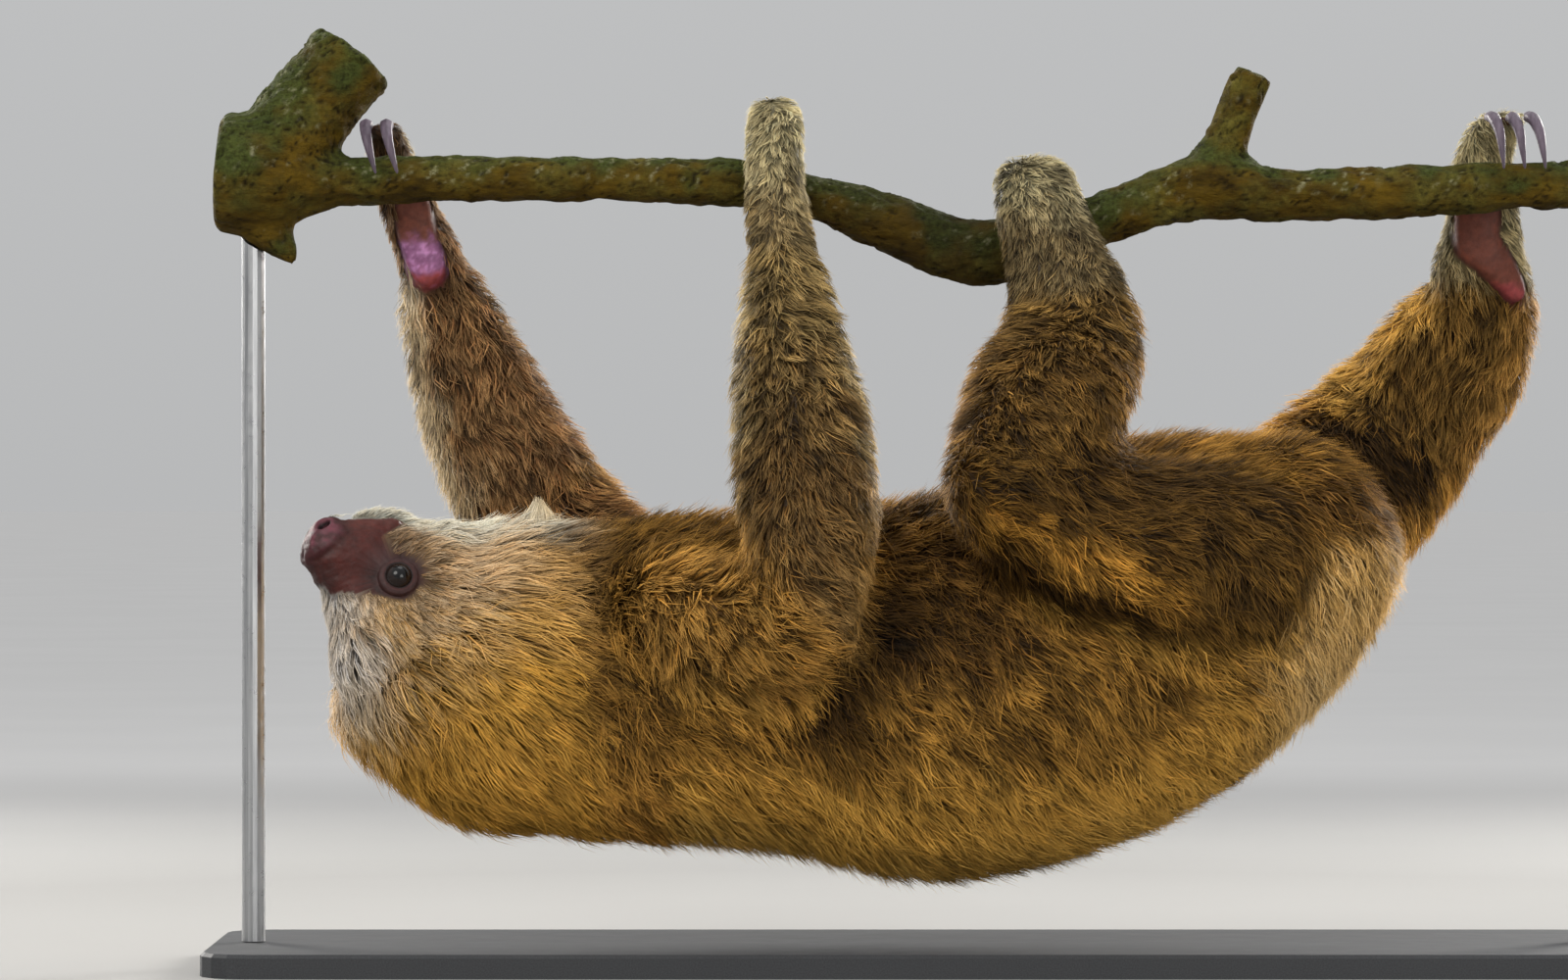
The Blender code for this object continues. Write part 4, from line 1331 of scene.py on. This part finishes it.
def lock_mesh(name, locks):
    """One mesh of many closed locks: rings of three points and a tip."""
    path, ups = locks["path"], locks["ups"]
    count, rings = path.shape[:2]
    forward = np.gradient(path, axis=1)
    side = unit(np.cross(forward, ups))[:, :-1]
    up = unit(np.cross(side, forward[:, :-1]))
    half = (locks["width"][:, None] * LOCK_WIDTHS[rings] / 2)[:, :, None]
    centre = path[:, :-1]
    ring = np.stack([centre - side * half, centre + side * half, centre + up * half * 0.9], axis=2)
    points = np.concatenate([ring.reshape(count, -1, 3), path[:, -1:]], axis=1)
    out = np.stack([-side - up * 0.4, side - up * 0.4, up], axis=2).reshape(count, -1, 3)
    out = np.concatenate([out, up[:, -1:]], axis=1)
    normals = unit(unit(out) * (1 - SOFTNESS) + ups[:, :1] * SOFTNESS)

    each = points.shape[1]
    faces = lock_faces(rings)
    corners = (faces + (np.arange(count) * each)[:, None, None]).ravel()
    mesh = bpy.data.meshes.new(name)
    mesh.vertices.add(count * each)
    mesh.vertices.foreach_set("co", points.astype(np.float32).ravel())
    mesh.loops.add(len(corners))
    mesh.loops.foreach_set("vertex_index", corners.astype(np.int32))
    mesh.polygons.add(len(corners) // 3)
    mesh.polygons.foreach_set("loop_start", np.arange(0, len(corners), 3, dtype=np.int32))
    mesh.update(calc_edges=True)
    mesh.shade_smooth()
    mesh.normals_split_custom_set_from_vertices(normals.reshape(-1, 3).astype(np.float32))
    set_colours(mesh, "Tint", lock_tones(locks["tone"], locks["tip"], rings))
    lay_patches(mesh, unwrap(locks["root"], locks["part"]), each, faces)
    return mesh


def lay_patches(mesh, places, each, faces):
    """The OFBake map: each lock is a small patch at its root's place on an unwrap of the skin."""
    zigzag = (np.arange(each) % 3) / 2.0
    inside = np.stack([zigzag, np.linspace(0, 1, each)], axis=1) * PATCH
    spots = places[:, None, :] + inside
    layer = mesh.uv_layers.new(name="OFBake")
    layer.data.foreach_set("uv", spots[:, faces.ravel()].astype(np.float32).ravel())


def unwrap(points, parts):
    """Each part of the skin unrolled round its own long axis, into its own tile of the map."""
    tiles = math.ceil(math.sqrt(len(FLESH)))
    place = np.zeros((len(points), 2))
    for number, name in enumerate(FLESH):
        mine = parts == number
        if not mine.any():
            continue
        low, high = node_box(name)
        size = high - low
        long_axis = 0 if name in TRUNK else int(np.argmax(size))
        first, second = [axis for axis in range(3) if axis != long_axis]
        offset = points[mine] - (low + high) / 2
        angle = np.arctan2(offset[:, first], offset[:, second]) / (2 * math.pi) + 0.5
        along = np.clip(offset[:, long_axis] / size[long_axis] + 0.5, 0, 1)
        corner = np.array([number % tiles, number // tiles]) + TILE_INSET
        place[mine] = (corner + np.stack([angle, along], axis=1) * (1 - 2 * TILE_INSET)) / tiles
    return place


def coat_pieces(locks_sets, material):
    """Sort the locks into pieces by part of the body, each under the limit of triangles."""
    for kind, locks in locks_sets.items():
        triangles = len(lock_faces(LOCKS[kind][1]))
        for group, members in COAT_GROUPS.items():
            numbers = [FLESH.index(name) for name in members]
            chosen = np.flatnonzero(np.isin(locks["part"], numbers))
            if not len(chosen):
                continue
            chosen = chosen[np.argsort(locks["root"][chosen, 0], kind="stable")]
            pieces = math.ceil(len(chosen) * triangles / PIECE_TRIANGLES)
            for i, held in enumerate(np.array_split(chosen, pieces)):
                name = f"coat_{group}_{kind}_{i + 1}"
                here = {key: values[held] for key, values in locks.items()}
                piece = new_object(name, lock_mesh(name, here))
                show(piece, material, "pale_coat" if group == "head" else "body_coat")


# ---------------------------------------------------------------- other pieces


def make_ball(name, segments, bend, centre, axes, size):
    """A ball of radius 1 whose points are bent one by one, then sized, turned and placed."""
    around, over = segments
    bm = bmesh.new()
    bmesh.ops.create_uvsphere(bm, u_segments=around, v_segments=over, radius=1.0)
    for vert in bm.verts:
        bend(vert.co)
    shape = Matrix.Translation(Vector(centre)) @ axes.to_4x4() @ Matrix.Diagonal((*size, 1.0))
    bmesh.ops.transform(bm, matrix=shape, verts=bm.verts)
    bmesh.ops.recalc_face_normals(bm, faces=bm.faces)
    ball = new_object(name, mesh_of(bm, name))
    ball.data.shade_smooth()
    return ball


def bulge_cornea(spot):
    """Swell an eyeball's front, which lies along Z."""
    spot *= 1.0 + 0.55 * max(0.0, spot.z - 0.74) ** 2


def build_eyes(material):
    for name, sign in EYES:
        low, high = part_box(name)
        radius = (high[0] - low[0]) / 2 * EYE_SCALE
        axes = Vector(gaze(sign)).to_track_quat("Z", "Y").to_matrix()
        eye = make_ball(f"{name}_ball", (64, 40), bulge_cornea, box_centre(name), axes, [radius] * 3)
        outward, *_ = about_eye(read_points(eye.data), name, sign)
        rise = outward @ gaze(sign)
        tone = layered(
            HUE.eye_white,
            (HUE.iris, ease(0.50, 0.62, rise)),
            (HUE.pupil, ease(0.84, 0.90, rise)),
        )
        set_colours(eye.data, "Tint", tone)
        show(eye, material, "eye", name)


def hollow_cup(spot):
    """Hollow an ear out from Z and wave its rim."""
    if spot.z > 0:
        spot.z -= 0.75 * max(0.0, 1.0 - (spot.x**2 + spot.y**2) * 1.6)
    spot.y += 0.12 * math.sin(spot.x * 3.0)


def build_ears(material, surface):
    """Small round ears lying low in the coat, one shallow cup on each side."""
    for name, sign in EARS:
        centre = surface.points[surface.nearest([box_centre(name)])[0]]
        axes = Matrix((HEAD.ahead, HEAD.crown, HEAD.right * sign)).transposed()
        ear = make_ball(f"{name}_cup", (40, 24), hollow_cup, centre, axes, Vector(EAR_SIZE) * MM)
        set_colours(ear.data, "Tint", HUE.cheek[None] * 0.7)
        show(ear, material, "bare_skin", name)


def build_claws(material):
    for name in CLAWS:
        claw = new_object(f"{name}_horn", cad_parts[name].data.copy())
        write_points(claw.data, read_points(claw.data) + read_normals(claw.data) * CLAW_GROWTH)
        melt(claw, CLAW_VOXEL, 6)
        claw.data.shade_smooth()
        show(claw, material, "claw", name)


def build_branch(material):
    """Bark over the branch's own shape: ridges, lumps, moss, lichen and painted shade in the cracks,
    underneath and at the dip.
    """
    branch = new_object("branch_bark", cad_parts["perch_branch"].data.copy())
    melt(branch, BARK_VOXEL, 5)
    points, normals = read_points(branch.data), read_normals(branch.data)
    up = normals[:, 2]
    stretched = points * [0.45, 1.0, 1.0]
    cracks = np.abs(waves(stretched, 16 * MM, 31, octaves=4))
    rise = 0.55 * waves(points, 34 * MM, 23) + 0.45 * waves(stretched, 9 * MM, 29)
    rise -= 0.9 * ease(0.16, 0.0, cracks)
    end_cap = ease(0.80, 0.95, np.abs(normals[:, 0]))
    points = points + normals * ((rise - 0.25) * (1 - end_cap) * MM)[:, None]
    write_points(branch.data, points)

    low, high = node_box("perch_branch")
    along = points[:, 0] - low[0]
    moss_side = ease(0.75, 0.15, along / 0.6)
    moss = ease(0.1, 0.9, up * 0.7 + 0.45 * waves(points, 45 * MM, 37) + 0.3 * moss_side)
    lichen = ease(0.70, 1.0, waves(points, 6 * MM, 41)) * ease(-0.4, 0.4, waves(points, 60 * MM, 43))
    lichen *= ease(-0.5, 0.3, up)
    dip = bell(along / (high[0] - low[0]) - 0.515, 0.10)
    # painted shade: darker in the cracks, on the underside and at the dip
    dark = np.max([ease(0.12, 0.0, cracks) * 0.85, ease(-0.2, -1.0, up) * 0.35, dip * 0.55], axis=0)
    set_colours(branch.data, "Tint", np.stack([moss * 0.85, lichen, dark], axis=1))
    branch.data.shade_smooth()
    show(branch, material, "bark", "perch_branch")


def dress_stand():
    paint, steel = stand_material(), rod_material()
    for name, material in (("stand_base", paint), ("stand_rod_left", steel), ("stand_rod_right", steel)):
        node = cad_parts[name]
        node.data.materials.clear()
        node.data.materials.append(material)


# ---------------------------------------------------------------- stage, light and camera

VIEW_DISTANCE = 2.8
VIEW_WIDTH = 2.0 / 3.0
VIEW_CENTRE = (-0.057, 0.0, 0.20208)
SENSOR = 36.0
WORLD_LOW = (0.48, 0.485, 0.49)
WORLD_HIGH = (0.95, 0.96, 0.97)
FLOOR_RADIUS = 60.0
LIGHT_AIM = (-0.03, 0.0, 0.18)
WARM = (1.0, 0.97, 0.92)
# Name, place, width in metres, power in watts, colour, spread in degrees
LIGHTS = (
    ("key", (-1.3, -2.1, 1.8), 1.5, 43.0, WARM, 180.0),
    ("fill", (1.4, -2.4, 0.45), 1.4, 25.0, (1.0, 0.98, 0.95), 180.0),
    ("top", (0.2, 0.3, 2.3), 1.2, 10.0, (1.0, 1.0, 1.0), 180.0),
    ("rim_right", (1.5, 1.7, 0.9), 1.0, 12.0, WARM, 60.0),
    ("rim_left", (-1.6, 1.7, 0.9), 1.0, 10.0, WARM, 60.0),
)


def build_camera():
    data = bpy.data.cameras.new("camera")
    data.sensor_width = SENSOR
    data.lens = SENSOR * VIEW_DISTANCE / VIEW_WIDTH
    camera = new_object("camera", data)
    camera.location = (VIEW_CENTRE[0], -VIEW_DISTANCE, VIEW_CENTRE[2])
    camera.rotation_euler = (math.pi / 2, 0.0, 0.0)
    bpy.context.scene.camera = camera


def add_light(name, place, width, power, colour, spread):
    data = bpy.data.lights.new(name, "AREA")
    data.shape = "DISK"
    data.size = width
    data.energy = power
    data.color = colour
    data.spread = math.radians(spread)
    light = new_object(name, data)
    light.location = place
    direction = Vector(LIGHT_AIM) - Vector(place)
    light.rotation_euler = direction.to_track_quat("-Z", "Y").to_euler()


def build_world():
    """Soft pale surroundings, a little brighter overhead than at the horizon."""
    world = bpy.data.worlds.new("studio")
    world.use_nodes = True
    tree = world.node_tree
    place = tree.nodes.new("ShaderNodeTexCoord")
    parts = tree.nodes.new("ShaderNodeSeparateXYZ")
    ramp = tree.nodes.new("ShaderNodeValToRGB")
    ramp.color_ramp.elements[0].color = (*WORLD_LOW, 1.0)
    ramp.color_ramp.elements[1].color = (*WORLD_HIGH, 1.0)
    tree.links.new(place.outputs["Generated"], parts.inputs["Vector"])
    tree.links.new(parts.outputs["Z"], ramp.inputs["Fac"])
    tree.links.new(ramp.outputs["Color"], tree.nodes["Background"].inputs["Color"])
    bpy.context.scene.world = world


def build_stage():
    bm = bmesh.new()
    bmesh.ops.create_circle(bm, cap_ends=True, segments=96, radius=FLOOR_RADIUS)
    floor = new_object("floor", mesh_of(bm, "floor"))
    floor.data.materials.append(floor_material())
    build_world()
    for light in LIGHTS:
        add_light(*light)
    bpy.context.scene.view_settings.view_transform = "Standard"


# ---------------------------------------------------------------- assembly


def main():
    build_camera()
    build_stage()
    dress_stand()
    material, surface, fields = build_skin()
    build_eyes(eye_material())
    build_claws(claw_material())
    build_branch(bark_material())
    build_ears(material, surface)
    rng = np.random.default_rng(SEED)
    long = build_locks(surface, fields, "long", fields["long"], rng)
    tuft = build_tuft(surface, fields, rng)
    locks = {
        "long": {key: np.concatenate([long[key], tuft[key]]) for key in long},
        "bent": build_locks(surface, fields, "bent", 1 - fields["long"], rng),
        "fine": build_locks(surface, fields, "fine", 1.0, rng),
    }
    coat_pieces(locks, coat_material())


main()
